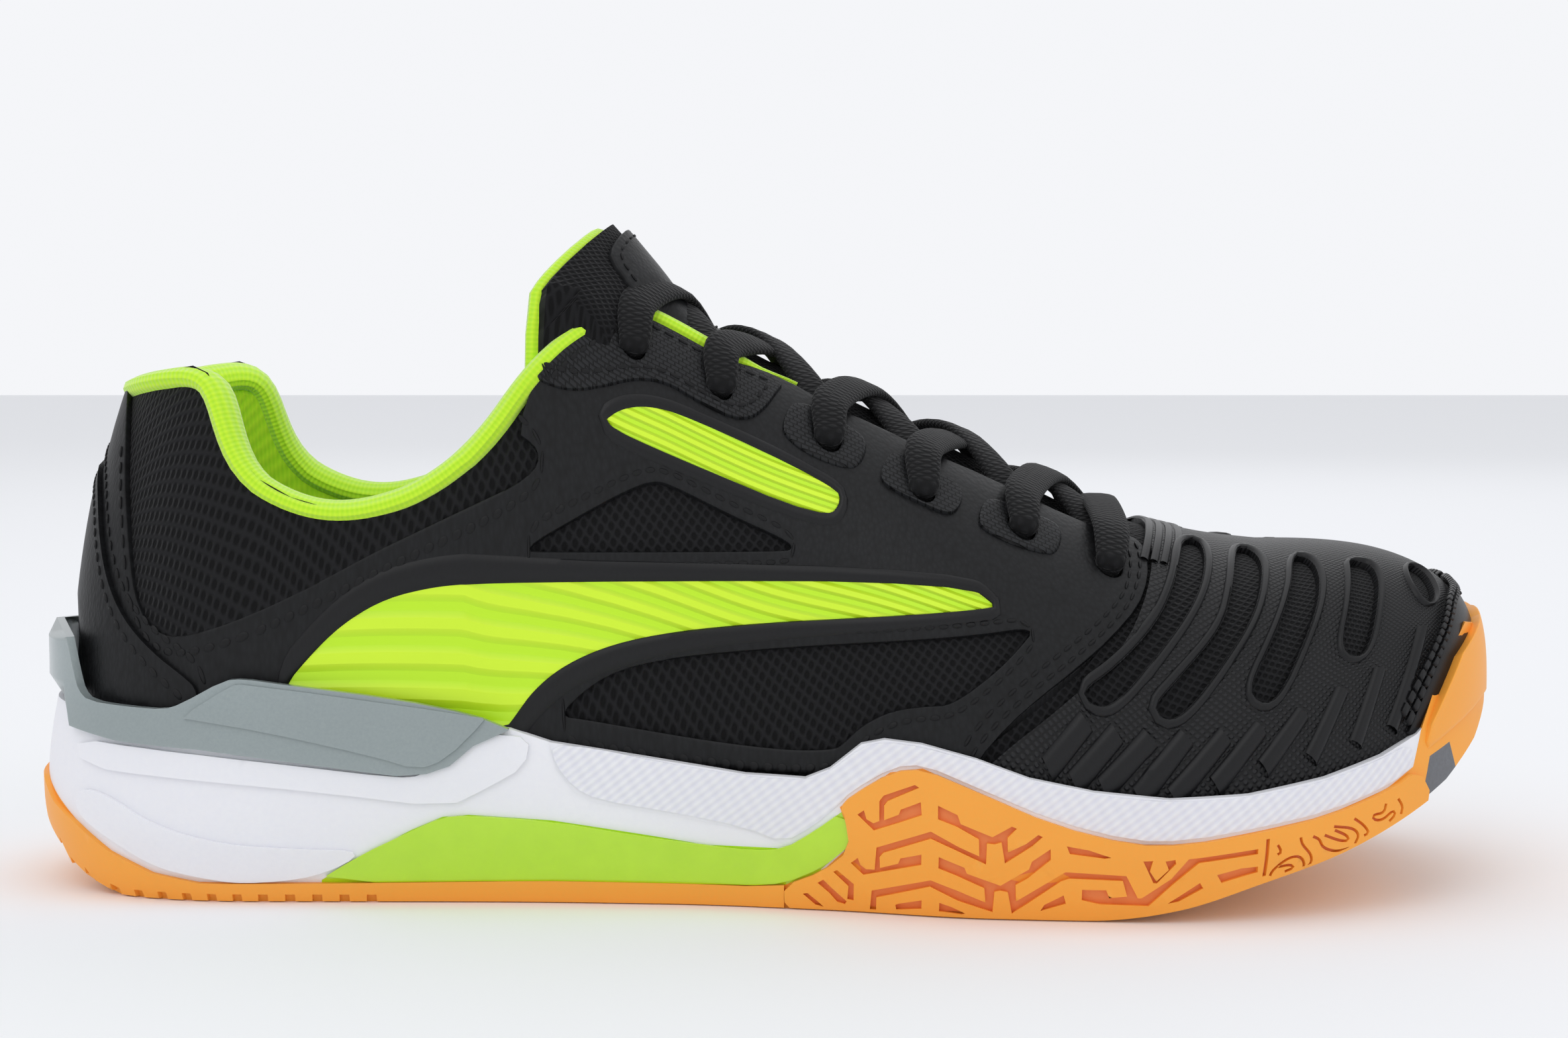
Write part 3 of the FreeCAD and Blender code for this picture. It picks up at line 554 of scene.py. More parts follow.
def stitches(surface: Surface, line: list[Flat], low: float, closed: bool = True, pitch: float = 2.7,
             length: float = 1.9, radius: float = 0.3) -> bmesh.types.BMesh:
    """Sew a row of stitches along a pattern line.

    Args:
        surface: what the pattern is laid on.
        line: the seam in the pattern.
        low: growth of the surface that is sewn.
        closed: whether the seam runs right round.
        pitch: from one stitch to the next.
        length: length of thread that shows.
        radius: half the thread's thickness.

    Returns:
        The stitches, in place.
    """
    bm = bmesh.new()
    points = even(line, pitch, closed)
    count = len(points) if closed else len(points) - 1
    for i in range(count):
        a, b = Vector(points[i]), Vector(points[(i + 1) % len(points)])
        way = b - a
        if way.length < pitch * 0.4:
            continue
        matrix = (Matrix.Translation(((a + b) / 2).to_3d() + Vector((0, 0, radius * 0.35)))
                  @ Matrix.Rotation(math.atan2(way.y, way.x), 4, "Z")
                  @ Matrix.Diagonal((length / 2, radius, radius * 0.9, 1)))
        bmesh.ops.create_uvsphere(bm, u_segments=6, v_segments=5, radius=1.0,
                                  matrix=matrix @ Matrix.Rotation(math.pi / 2, 4, "Y"))
    keep_pattern(bm)
    surface.lay(bm, low)
    return bm


def join(*meshes: bmesh.types.BMesh) -> bmesh.types.BMesh:
    """Put several meshes into the first one."""
    first = meshes[0]
    for other in meshes[1:]:
        holder = bpy.data.meshes.new("join")
        other.to_mesh(holder)
        other.free()
        first.from_mesh(holder)
        bpy.data.meshes.remove(holder)
    return first


def sweep(path: list[Vector], outs: list[Vector], wides: list[float], highs: list[float],
          around: int = 12, square: float = 2.0, closed: bool = False) -> bmesh.types.BMesh:
    """Draw an oval section along a path by extruding its ring step by step.

    Args:
        path: the middle of the section, in metres.
        outs: the way the section's height points, at each step.
        wides: half widths, in metres.
        highs: half heights, in metres.
        around: points in the ring.
        square: 2 for an oval, more for a squarer section.
        closed: whether the path closes on itself.

    Returns:
        The swept mesh, in place, with length and turn as its UV map in millimetres.
    """
    bm = bmesh.new()
    length_of = bm.verts.layers.float.new("length")
    turn_of = bm.verts.layers.float.new("turn")
    count = len(path)

    def frame_at(i: int) -> Matrix:
        ahead = path[(i + 1) % count] if closed or i + 1 < count else path[i]
        behind = path[i - 1] if closed or i else path[i]
        way = (ahead - behind).normalized()
        side = way.cross(outs[i]).normalized()
        up = side.cross(way).normalized()
        turn = Matrix((side, up, way)).transposed().to_4x4()
        return Matrix.Translation(path[i]) @ turn @ Matrix.Diagonal((wides[i], highs[i], 1, 1))

    ring = []
    for k in range(around):
        angle = 2 * math.pi * k / around
        c, s = math.cos(angle), math.sin(angle)
        ring.append(bm.verts.new((math.copysign(abs(c) ** (2 / square), c),
                                  math.copysign(abs(s) ** (2 / square), s), 0)))
        ring[-1][turn_of] = k / around
    edges = [bm.edges.new((a, b)) for a, b in zip(ring, ring[1:] + ring[:1])]
    first_edges = list(edges)
    frame_now = frame_at(0)
    bmesh.ops.transform(bm, matrix=frame_now, verts=ring)
    run = 0.0
    for i in range(1, count):
        made = bmesh.ops.extrude_edge_only(bm, edges=edges)["geom"]
        ring = [g for g in made if isinstance(g, bmesh.types.BMVert)]
        edges = [g for g in made if isinstance(g, bmesh.types.BMEdge)]
        frame_next = frame_at(i)
        bmesh.ops.transform(bm, matrix=frame_next @ frame_now.inverted(), verts=ring)
        frame_now = frame_next
        run += (path[i] - path[i - 1]).length / MM
        for vert in ring:
            vert[length_of] = run
    if closed:
        bmesh.ops.bridge_loops(bm, edges=edges + first_edges)
    else:
        bmesh.ops.holes_fill(bm, edges=[e for e in bm.edges if e.is_boundary], sides=0)
    bmesh.ops.recalc_face_normals(bm, faces=bm.faces[:])
    girth = math.pi * (sum(wides) + sum(highs)) / count / MM
    uv = bm.loops.layers.uv.verify()
    for face in bm.faces:
        turns = [loop.vert[turn_of] for loop in face.loops]
        wraps = max(turns) - min(turns) > 0.5
        for loop in face.loops:
            turn = loop.vert[turn_of]
            loop[uv].uv = (loop.vert[length_of], (turn + 1 if wraps and turn < 0.5 else turn) * girth)
    return bm


# ------------------------------------------------------------------ finishes
def linear(colour: str) -> tuple[float, float, float, float]:
    """Turn an sRGB hex colour into the linear numbers that a shader takes."""
    parts = [int(colour[i:i + 2], 16) / 255 for i in (0, 2, 4)]
    red, green, blue = (c / 12.92 if c <= 0.04045 else ((c + 0.055) / 1.055) ** 2.4 for c in parts)
    return red, green, blue, 1.0


def add_node(tree: bpy.types.NodeTree, kind: str, settings: dict | None = None,
             links: dict | None = None) -> bpy.types.Node:
    """Add a node with its settings and its links.

    Args:
        tree: the material's node tree.
        kind: the node's type, without "ShaderNode".
        settings: values for its properties, or for its input sockets by name or number.
        links: output sockets to join to its inputs, by name or number.

    Returns:
        The new node.
    """
    node = tree.nodes.new("ShaderNode" + kind)
    for key, value in (settings or {}).items():
        if isinstance(key, str) and hasattr(node, key) and key not in node.inputs:
            setattr(node, key, value)
        else:
            node.inputs[key].default_value = value
    for key, socket in (links or {}).items():
        tree.links.new(socket, node.inputs[key])
    return node


class Relief(Enum):
    """How a finish's surface is made."""

    PLAIN = "plain"
    OPEN_MESH = "open mesh"
    KNIT = "knit"
    RIBS = "ribs"
    GRAIN = "grain"
    BRICK = "brick"
    HATCH = "hatch"
    LACE = "lace"
    DIAMOND = "diamond"


@dataclass(frozen=True)
class Finish:
    """A material by its real name, what made its surface, and how large that is."""

    name: str
    slot: str
    colour: str                 # sRGB of the raised parts
    painted_hollow_shade: str                  # sRGB painted into the relief's low places as shade
    roughness: float = 0.6
    relief: Relief = Relief.PLAIN
    pitch: float = 1.0          # millimetres from one repeat to the next
    depth: float = 0.1          # millimetres from top to hollow
    ior: float = 1.5
    sheen: float = 0.0
    coat: float = 0.0
    metallic: float = 0.0
    subsurface: float = 0.0
    mottle: float = 0.06        # how far the colour wanders over centimetres
    on_pattern: bool = True     # follows the piece's own pattern rather than the shoe's axes

    def material(self) -> bpy.types.Material:
        """Make the material once, and hand back the same one after that."""
        found = bpy.data.materials.get(self.name)
        if found:
            return found
        made = bpy.data.materials.new(self.name)
        made.use_nodes = True
        made.diffuse_color = linear(self.colour)
        tree = made.node_tree
        shader = tree.nodes["Principled BSDF"]
        shader.inputs["Roughness"].default_value = self.roughness
        shader.inputs["IOR"].default_value = self.ior
        shader.inputs["Metallic"].default_value = self.metallic
        if self.sheen:
            shader.inputs["Sheen Weight"].default_value = self.sheen
            shader.inputs["Sheen Roughness"].default_value = 0.5
        if self.coat:
            shader.inputs["Coat Weight"].default_value = self.coat
            shader.inputs["Coat Roughness"].default_value = 0.12
        if self.subsurface:
            shader.inputs["Subsurface Weight"].default_value = self.subsurface
            shader.inputs["Subsurface Radius"].default_value = (1.0, 0.9, 0.8)
            shader.inputs["Subsurface Scale"].default_value = 0.002
        axes = add_node(tree, "TexCoord")
        if self.on_pattern:
            rise = 1.5 if self.relief in (Relief.OPEN_MESH, Relief.RIBS, Relief.DIAMOND) else 1.0
            place = add_node(tree, "Mapping", {"Scale": (1 / self.pitch, rise / self.pitch, 1.0)},
                             {"Vector": axes.outputs["UV"]})
        else:
            place = add_node(tree, "Mapping", {"Scale": (1000 / self.pitch,) * 3},
                             {"Vector": axes.outputs["Object"]})
        height = self.height(tree, place.outputs["Vector"])
        blotch = add_node(tree, "TexNoise", {"Scale": 45.0, "Detail": 3.0}, {"Vector": axes.outputs["Object"]})
        raised = add_node(tree, "MixRGB", {"blend_type": "MULTIPLY", "Fac": self.mottle * 4,
                                           "Color1": linear(self.colour)}, {"Color2": blotch.outputs["Fac"]})
        # Painted shade: the relief's height mixes the darker hollow colour into its low places and the finish's
        # own colour onto its tops; on plain finishes that height is a fine noise.
        colour = add_node(tree, "MixRGB", {"Color1": linear(self.painted_hollow_shade)},
                          {"Fac": height, "Color2": raised.outputs["Color"]})
        tree.links.new(colour.outputs["Color"], shader.inputs["Base Color"])
        bump = add_node(tree, "Bump", {"Strength": 1.0, "Distance": self.depth * MM}, {"Height": height})
        tree.links.new(bump.outputs["Normal"], shader.inputs["Normal"])
        return made

    def height(self, tree: bpy.types.NodeTree, place: bpy.types.NodeSocket) -> bpy.types.NodeSocket:
        """The relief's height, from 0 in the hollows to 1 on top.

        Args:
            tree: the material's node tree.
            place: the pattern's coordinates, one repeat to the unit.

        Returns:
            The socket that carries the height.
        """
        split = add_node(tree, "SeparateXYZ", links={"Vector": place})

        def wave(turn: float, scale: float = 1.0) -> bpy.types.NodeSocket:
            tilted = add_node(tree, "Mapping", {"Rotation": (0, 0, math.radians(turn))}, {"Vector": place})
            bands = add_node(tree, "TexWave", {"wave_type": "BANDS", "bands_direction": "X",
                                               "wave_profile": "SIN", "Scale": scale / 20 * 2 * math.pi,
                                               "Distortion": 0.0}, {"Vector": tilted.outputs["Vector"]})
            return bands.outputs["Fac"]

        def maths(operation: str, a: object, b: object = 0.5, clamped: bool = False) -> bpy.types.NodeSocket:
            settings, links = {"operation": operation, "use_clamp": clamped}, {}
            for key, value in ((0, a), (1, b)):
                (settings if isinstance(value, float) else links)[key] = value
            return add_node(tree, "Math", settings, links).outputs[0]

        if self.relief is Relief.OPEN_MESH:
            holes = maths("MULTIPLY", wave(28), wave(-62, 0.8))
            return maths("SUBTRACT", 1.0, maths("SMOOTH_MIN", maths("MULTIPLY", holes, 2.2), 1.0), True)
        if self.relief is Relief.KNIT:
            loops = maths("MULTIPLY", wave(0), 0.45)
            return maths("ADD", loops, maths("MULTIPLY", wave(90, 0.6), 0.55), True)
        if self.relief is Relief.RIBS:
            return maths("MULTIPLY", maths("SUBTRACT", wave(90), 0.15), 1.6, True)
        if self.relief is Relief.BRICK:
            brick = add_node(tree, "TexBrick", {"Color1": (1, 1, 1, 1), "Color2": (0.8, 0.8, 0.8, 1),
                                                "Mortar": (0, 0, 0, 1), "Scale": 1.0, "Mortar Size": 0.09,
                                                "Mortar Smooth": 0.6, "Brick Width": 1.0, "Row Height": 0.5},
                             {"Vector": place})
            return brick.outputs["Color"]
        if self.relief is Relief.DIAMOND:
            cells = maths("MULTIPLY", wave(45), wave(-45))
            return maths("MULTIPLY", cells, 2.0, True)
        if self.relief is Relief.HATCH:
            fine = maths("MULTIPLY", wave(52), 0.7)
            return maths("ADD", fine, maths("MULTIPLY", wave(-30, 0.5), 0.3), True)
        if self.relief is Relief.LACE:
            plait = maths("MULTIPLY", wave(35), wave(-35))
            return maths("ADD", maths("MULTIPLY", plait, 1.2), 0.15, True)
        if self.relief is Relief.GRAIN:
            cells = add_node(tree, "TexVoronoi", {"feature": "SMOOTH_F1", "Scale": 1.0, "Smoothness": 0.4},
                             {"Vector": place})
            return maths("SUBTRACT", 1.0, cells.outputs["Distance"], True)
        fine = add_node(tree, "TexNoise", {"Scale": 1.0, "Detail": 4.0, "Roughness": 0.6}, {"Vector": place})
        return fine.outputs["Fac"]


# Warp-knit polyester net: matt yarn round slanted open cells, 1.4 mm apart along the shoe.
NET = Finish("warp_knit_polyester_net", "mesh_black", "1B1B1D", "020203", 0.8, Relief.OPEN_MESH, 1.4, 0.35,
             ior=1.3, sheen=0.06)
# Tongue's closer net, cells 1.15 mm apart.
TONGUE_NET = Finish("close_polyester_net", "mesh_black", "18181A", "030304", 0.85, Relief.OPEN_MESH, 1.15, 0.3,
                    ior=1.3, sheen=0.06)
# Polyurethane-coated leather, embossed with a 0.8 mm grain: matt black with soft highlights.
COATED = Finish("coated_leather_embossed", "leather_black", "1A1B1D", "0B0B0C", 0.45, Relief.GRAIN, 0.8, 0.06,
                ior=1.34)
# Film moulded with a woven relief, bricks 1.5 mm long.
WOVEN_FILM = Finish("film_moulded_woven", "patch_black", "232426", "0A0A0B", 0.45, Relief.BRICK, 1.5, 0.25,
                    ior=1.35)
# Toe film moulded with a fine diamond relief of 1.25 mm.
TOE_FILM = Finish("film_moulded_diamond", "toe_film", "242426", "0C0C0D", 0.42, Relief.DIAMOND, 1.25, 0.16,
                  ior=1.35)
# Plain moulded film: a smooth black edge that catches the light.
SMOOTH_FILM = Finish("film_moulded_smooth", "toe_film", "1C1C1E", "121213", 0.36, Relief.PLAIN, 0.5, 0.03,
                     ior=1.35)
# Film moulded in ribs about 4 mm apart at the wide end: bright yellow-green, with painted shade darkening the
# valleys.
RIBBED = Finish("ribbed_film_neon", "ribbed_neon", "DAFF2C", "C4F41C", 0.38, Relief.RIBS, 2.9, 0.55, mottle=0.02)
# Brushed lining knit, 0.95 mm loops, with a soft sheen.
LINING = Finish("brushed_knit_neon", "lining_neon", "D4FF2A", "B4EC14", 0.85, Relief.KNIT, 0.95, 0.18, sheen=0.5,
                subsurface=0.1, mottle=0.03)
# The same knit in dark grey: dull, with a soft sheen.
SOCK = Finish("brushed_knit_dark", "sock", "2C2D30", "141416", 0.9, Relief.KNIT, 0.9, 0.15, sheen=0.4)
# Flat woven polyester lace with a 1.1 mm plait.
LACE = Finish("woven_polyester_lace", "lace_black", "161618", "070708", 0.75, Relief.LACE, 1.1, 0.25,
              ior=1.3, sheen=0.08)
# Bonded nylon thread: black, a little glossier than the leather.
THREAD = Finish("bonded_nylon_thread", "leather_black", "141416", "0A0A0B", 0.5, Relief.PLAIN, 0.3, 0.02,
                ior=1.35)
# Injected EVA foam: white, dull skin.
FOAM = Finish("injected_foam_white", "foam_white", "F6F6F9", "ECECF2", 0.55, Relief.PLAIN, 1.0, 0.03,
              subsurface=0.15, mottle=0.02, on_pattern=False)
# The same foam with a fine slanted hatch in its skin.
FOAM_HATCHED = Finish("injected_foam_hatched", "foam_front", "F6F6F9", "E2E2EC", 0.6, Relief.HATCH, 1.3, 0.12,
                      subsurface=0.12, mottle=0.02)
# Gum rubber, moulded satin: bright orange with a slight glow.
GUM = Finish("moulded_gum_rubber", "gum_rubber", "FFB044", "FFA63A", 0.45, Relief.PLAIN, 0.7, 0.02, ior=1.45,
             subsurface=0.05, mottle=0.03, on_pattern=False)
# The floor of the grooves: the same rubber in shade.
GUM_FLOOR_SHADE = Finish("gum_rubber_floor_painted_shade", "gum_rubber", "F59252", "EE8446", 0.55, Relief.PLAIN, 0.7, 0.02, ior=1.45,
                  subsurface=0.05, mottle=0.03, on_pattern=False)
# Carbon-filled rubber, moulded: mid grey, satin.
GREY_RUBBER = Finish("carbon_rubber_grey", "grey_rubber", "7C7E83", "5C5E62", 0.5, Relief.PLAIN, 0.8, 0.03,
                     on_pattern=False)
# Tinted cast polyurethane: glossy lime, drawn opaque.
LIME = Finish("cast_polyurethane_lime", "shank_lime", "C2F01C", "B2E010", 0.12, Relief.PLAIN, 6.0, 0.01, coat=1.0,
              subsurface=0.1, mottle=0.02, on_pattern=False)
# Pearl-pigmented moulded polyurethane: silver grey, drawn opaque.
PEARL = Finish("cast_polyurethane_pearl", "cage_silver", "A3ADAD", "8F9A9B", 0.28, Relief.PLAIN, 0.6, 0.015,
               metallic=0.35, coat=0.4, subsurface=0.1, mottle=0.03, on_pattern=False)
# Pressed fibre board: pale and quite matt.
BOARD = Finish("fibre_board", "board", "CFCBC2", "B8B4AA", 0.9, Relief.PLAIN, 0.8, 0.05, on_pattern=False)
# Moulded stiffener sheet: off-white and dull.
COUNTER = Finish("moulded_sheet", "counter", "DAD6CE", "C8C4BC", 0.7, Relief.PLAIN, 2.0, 0.03, on_pattern=False)
# Flat lining knit: black, with a faint sheen.
DARK_KNIT = Finish("flat_knit_black", "lining_black", "252528", "101011", 0.9, Relief.KNIT, 0.9, 0.12,
                   sheen=0.3, on_pattern=False)
# Heat-shrunk plastic: black and glossy.
SHEATH = Finish("heat_shrunk_sheath", "aglet", "1C1C1E", "141415", 0.25, Relief.PLAIN, 1.0, 0.01, coat=0.5,
                on_pattern=False)


# ------------------------------------------------------------------ outlines of the upper, in millimetres
TOPLINE = [(-130.6, 100.6), (-125.1, 102.5), (-119.5, 103.7), (-113.9, 104.2), (-110.5, 102.6),
           (-108.6, 98.5), (-106.8, 92.4), (-104.1, 86.4), (-99.6, 81.8), (-93.5, 78.5), (-87.4, 76.8),
           (-81.4, 76.8), (-75.3, 78.1), (-69.3, 80.3), (-61.7, 85.3), (-55.6, 91.7), (-50.3, 99.3),
           (-45, 105.3), (-39, 109.9), (-31.4, 113.2), (-27.4, 114.1)]
THROAT = [(-21.3, 111.3), (-10.5, 105.1), (1.9, 100.5), (11.2, 95.1), (20.4, 91.2), (31.2, 85.8),
          (42.1, 81.2), (52.9, 75.8), (63.7, 71.2), (70.5, 69.6)]
FRONT_EDGE = [(72.5, 68.2), (73.1, 66.4), (72.4, 62.4), (69.8, 57.7), (64, 52.3), (57.8, 47.5),
              (50.2, 41.9), (44.3, 36.9), (38.5, 30.3), (36, 24)]
COLLAR_WINDOW = [(-50, 91), (-46.5, 88.6), (-45.5, 86.1), (-46.5, 83.7), (-50.3, 80.8), (-56.6, 77.9),
                 (-63.9, 74.5), (-73.6, 69.9), (-78.9, 67.3), (-89.3, 61.9), (-97.1, 58), (-104.9, 54.6),
                 (-110.1, 52.8), (-115.6, 51.5), (-118.9, 51.8), (-122.1, 54.2), (-124.6, 59.5),
                 (-125.7, 66.2), (-126.6, 74), (-127.4, 81.2), (-127.8, 89.6), (-128.6, 97.5)]
CENTRE_WINDOW = [(-49.1, 68.4), (-37.4, 75.1), (-28.3, 79.9), (-23.4, 81.6), (-20, 80.8), (-8.7, 75.1),
                 (1.9, 70.5), (3.7, 68.9), (1.9, 68.1), (-43.3, 68.1)]
LOWER_WINDOW = [(-41.4, 36.5), (-37.9, 40.7), (-31.1, 45.3), (-20.6, 47.9), (1.9, 50.2), (24.1, 51.9),
                (38.8, 53.2), (49.9, 54.6), (46.1, 50.4), (41.5, 46.1), (33.5, 40.3), (29.1, 40.1),
                (22.6, 39.1), (16.7, 36), (13, 32.1), (10.8, 31), (1.9, 30.7), (-13.1, 32.1), (-28.1, 34.5),
                (-37.2, 36)]
BELT = [(-96, 42.4), (-88.5, 51.1), (-82.5, 56.4), (-75, 60.6), (-65.9, 62.8), (-58.4, 63.4), (-35, 63.3),
        (36, 63.3), (43.5, 58), (38.9, 57.2), (16.8, 55.4), (-1.1, 54.1), (-19.1, 52.1), (-31.2, 49.5),
        (-40.2, 45.5), (-46.2, 40.7), (-50, 35.4), (-52, 32.5), (-75, 34), (-94, 36)]
LACE_BAR = [(-34, 92), (-31, 95.3), (-25, 96.2), (-17, 94), (12, 80.5), (13.5, 77), (10, 73.4), (-20, 85.6)]
PATCH = [(-46.8, 101.4), (-43.8, 99.6), (-39.2, 98.4), (-33.2, 99.1), (-27.2, 100.6), (-21.1, 99.8),
         (-14.9, 96), (-8.8, 93), (-5, 92.5), (-1.9, 94.4), (0.4, 97.4), (2, 99.4), (-10.5, 104),
         (-21.3, 110), (-27.4, 112.8), (-31.4, 111.9), (-39, 108.6), (-44, 104.5)]
LACE_PADS = [
    [(3, 95.2), (1.5, 91.6), (2, 89.2), (7.4, 85.4), (14.7, 83), (17.2, 84.4), (18.3, 87.6), (16.9, 89.5),
     (10, 93.7), (5.5, 95.4)],
    [(22.2, 85.2), (20.4, 81.5), (22, 79.6), (27.8, 76.8), (33.6, 74.4), (35.7, 75.3), (36.9, 78),
     (35.5, 79.9), (29.2, 83.2), (24.3, 85.6)],
    [(40.8, 76.8), (39.3, 73.4), (40.4, 71.6), (46.2, 68.8), (53, 66.9), (55.1, 67.6), (56.3, 70.6),
     (54.8, 72.4), (48.4, 74.9), (43.4, 76.9)],
]
EYELETS = [(-27.8, 106.8), (-10.8, 98.8), (10.4, 88.8), (28.7, 79.1), (48.0, 71.8), (64.9, 64.9)]
HEEL_STRIP = [(-138.6, 89.2), (-137.2, 88.6), (-133.4, 78.7), (-131.8, 68.4), (-129.6, 60.8), (-126, 54.3),
              (-120, 48.3), (-113.8, 43.9), (-111.1, 41.4), (-111, 34)]


def on_side(surface: Surface, points: list[Flat], side: int) -> list[Flat]:
    """Pattern points of a side outline on the outer or the inner side."""
    flats = [surface.flat(x, z) for x, z in points]
    return flats if side == LATERAL else [surface.mirrored(p) for p in flats]


def drawn(points: list[Flat], side: int = LATERAL, times: int = 2, surface: Surface | None = None) -> list[Flat]:
    """A closed outline with its corners rounded, laid out in the pattern of one side."""
    return on_side(surface or LAST, spaced(rounded(points, times), 1.5), side)


def ring_of(centre: Flat, radius: float, count: int = 20) -> list[Flat]:
    """A circle in a pattern."""
    return [(centre[0] + radius * math.cos(2 * math.pi * i / count),
             centre[1] + radius * math.sin(2 * math.pi * i / count)) for i in range(count)]


SIDE_NAMES = {LATERAL: "outer", MEDIAL: "inner"}


# ------------------------------------------------------------------ the upper
@dataclass
class Upper:
    """The mesh, the coated leather over it, and what is welded on top of them."""

    leather: float = 1.2
    film: float = 1.0
    eyelet: float = 2.6
    seam: float = 1.3           # stitches stand this far in from an edge, in the pattern

    def quarter_line(self, side: int) -> list[Flat]:
        """Outline of a leather quarter, from the heel's middle round the front and back along the top."""
        line = [(FEATHER_BACK, 34), (-128, 33), (-100, 31.5), (-60, 30), (-20, 27.3), (20, 26), (36, 24)]
        front = list(reversed(FRONT_EDGE[:-1]))
        top = list(reversed(THROAT)) + [TOPLINE[-1]] + list(reversed([p for p in TOPLINE if p[0] > -50])) \
            + COLLAR_WINDOW + [(-130, 100.2)]
        line = rounded(line + front + top, 1, False)
        points = [LAST.centre(FEATHER_BACK)] + [LAST.flat(x, z) for x, z in spaced(line, 1.5, False)]
        points.append(LAST.centre(-130.9))
        return points if side == LATERAL else [LAST.mirrored(p) for p in points]

    def eyelets(self, side: int) -> list[list[Flat]]:
        """The punched eyelets of one side."""
        return [ring_of(centre, self.eyelet) for centre in on_side(LAST, EYELETS, side)]

    def mesh(self, side: int) -> None:
        """The net of one quarter, swelling a little where the collar is padded."""
        top = list(reversed(THROAT)) + list(reversed(TOPLINE))
        line = [(FEATHER_BACK, 34), (-100, 31.2), (-20, 26.8), (36, 23.5)] + list(reversed(FRONT_EDGE[:-1])) + top
        points = [LAST.centre(FEATHER_BACK)] + [LAST.flat(x, z) for x, z in spaced(line, 2.0, False)]
        points.append(LAST.centre(-130.9))
        if side == MEDIAL:
            points = [LAST.mirrored(p) for p in points]
        bm = cut_piece(points, self.eyelets(side), 1.2, 3.0, 0.0)
        hub = LAST.flat(-92, 69)
        hub = hub if side == LATERAL else LAST.mirrored(hub)
        for vert in bm.verts:
            away = math.hypot((vert.co.x - hub[0]) / 40, (vert.co.y - hub[1]) / 26)
            vert.co.z += 1.3 * max(0.0, 1 - away ** 2)
        LAST.lay(bm, -1.35)
        made = piece(SIDE_NAMES[side] + "_net", bm, NET)
        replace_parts(made, SIDE_NAMES[side] + "_quarter_mesh")

    def quarter(self, side: int) -> None:
        """The coated leather of one quarter, with its windows, its belt and its seams."""
        name = SIDE_NAMES[side]
        windows = [drawn(line, side) for line in (CENTRE_WINDOW, LOWER_WINDOW, BELT, LACE_BAR)]
        outline = self.quarter_line(side)
        bm = cut_piece(outline, windows + self.eyelets(side), self.leather, 2.6, 0.35)
        LAST.lay(bm, 0.0)
        made = piece(name + "_leather", bm, COATED)
        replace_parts(made, name + "_overlay")
        rows = [stitches(LAST, self.outside(drawn(CENTRE_WINDOW, side), self.seam), self.leather),
                stitches(LAST, self.outside(drawn(LOWER_WINDOW, side), self.seam), self.leather)]
        collar = [LAST.flat(x, z) for x, z in spaced(rounded(COLLAR_WINDOW[:-1], 2, False), 1.0, False)]
        front = [LAST.flat(x, z) for x, z in spaced(rounded(FRONT_EDGE, 2, False), 1.0, False)]
        for line, gap in ((collar, self.seam), (front, self.seam), (front, self.seam + 1.6)):
            row = inset(line, gap if line is collar else -gap, False)
            if side == MEDIAL:
                row = [LAST.mirrored(p) for p in row]
            rows.append(stitches(LAST, row, self.leather, False))
        piece(name + "_leather_seams", join(*rows), THREAD)

    def outside(self, line: list[Flat], gap: float) -> list[Flat]:
        """A closed line moved outwards."""
        return inset(even(line, 1.0), -gap)

    def belt(self, side: int) -> None:
        """The ribbed belt panel in its black moulded border."""
        name = SIDE_NAMES[side]
        bm = cut_piece(self.outside(drawn(BELT, side), -0.2), None, self.film, 2.2, 0.3)
        LAST.lay(bm, 0.1)
        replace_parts(piece(name + "_belt", bm, RIBBED), name + "_belt_panel")
        bm = cut_piece(self.outside(drawn(LACE_BAR, side), -0.2), None, self.film, 2.2, 0.3)
        LAST.lay(bm, 0.3)
        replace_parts(piece(name + "_bar", bm, RIBBED), name + "_lace_bar")
        border = bmesh.new()
        add_ridge(border, self.outside(drawn(BELT, side), 0.5), 1.8, 0.75, self.leather - 0.15)
        add_ridge(border, self.outside(drawn(LACE_BAR, side), 0.5), 1.8, 0.75, self.leather - 0.15)
        beads(name + "_belt_border", border)

    def eyestay(self, side: int) -> None:
        """The woven-look patch and the three raised lace pads."""
        name = SIDE_NAMES[side]
        bm = cut_piece(drawn(PATCH, side), self.eyelets(side)[:2], 0.9, 2.2, 0.35)
        LAST.lay(bm, self.leather - 0.05)
        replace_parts(piece(name + "_patch", bm, WOVEN_FILM), name + "_eyestay_patch")
        rows = [stitches(LAST, inset(even(drawn(PATCH, side), 1.0), 1.7), self.leather + 0.85)]
        pads = bmesh.new()
        for pad, hole in zip(LACE_PADS, self.eyelets(side)[2:5]):
            shape = cut_piece(drawn(pad, side), [hole], 0.9, 2.0, 0.6)
            pads = join(pads, shape)
        LAST.lay(pads, self.leather - 0.1)
        piece(name + "_lace_pads", pads, WOVEN_FILM)
        piece(name + "_patch_seam", join(*rows), THREAD)

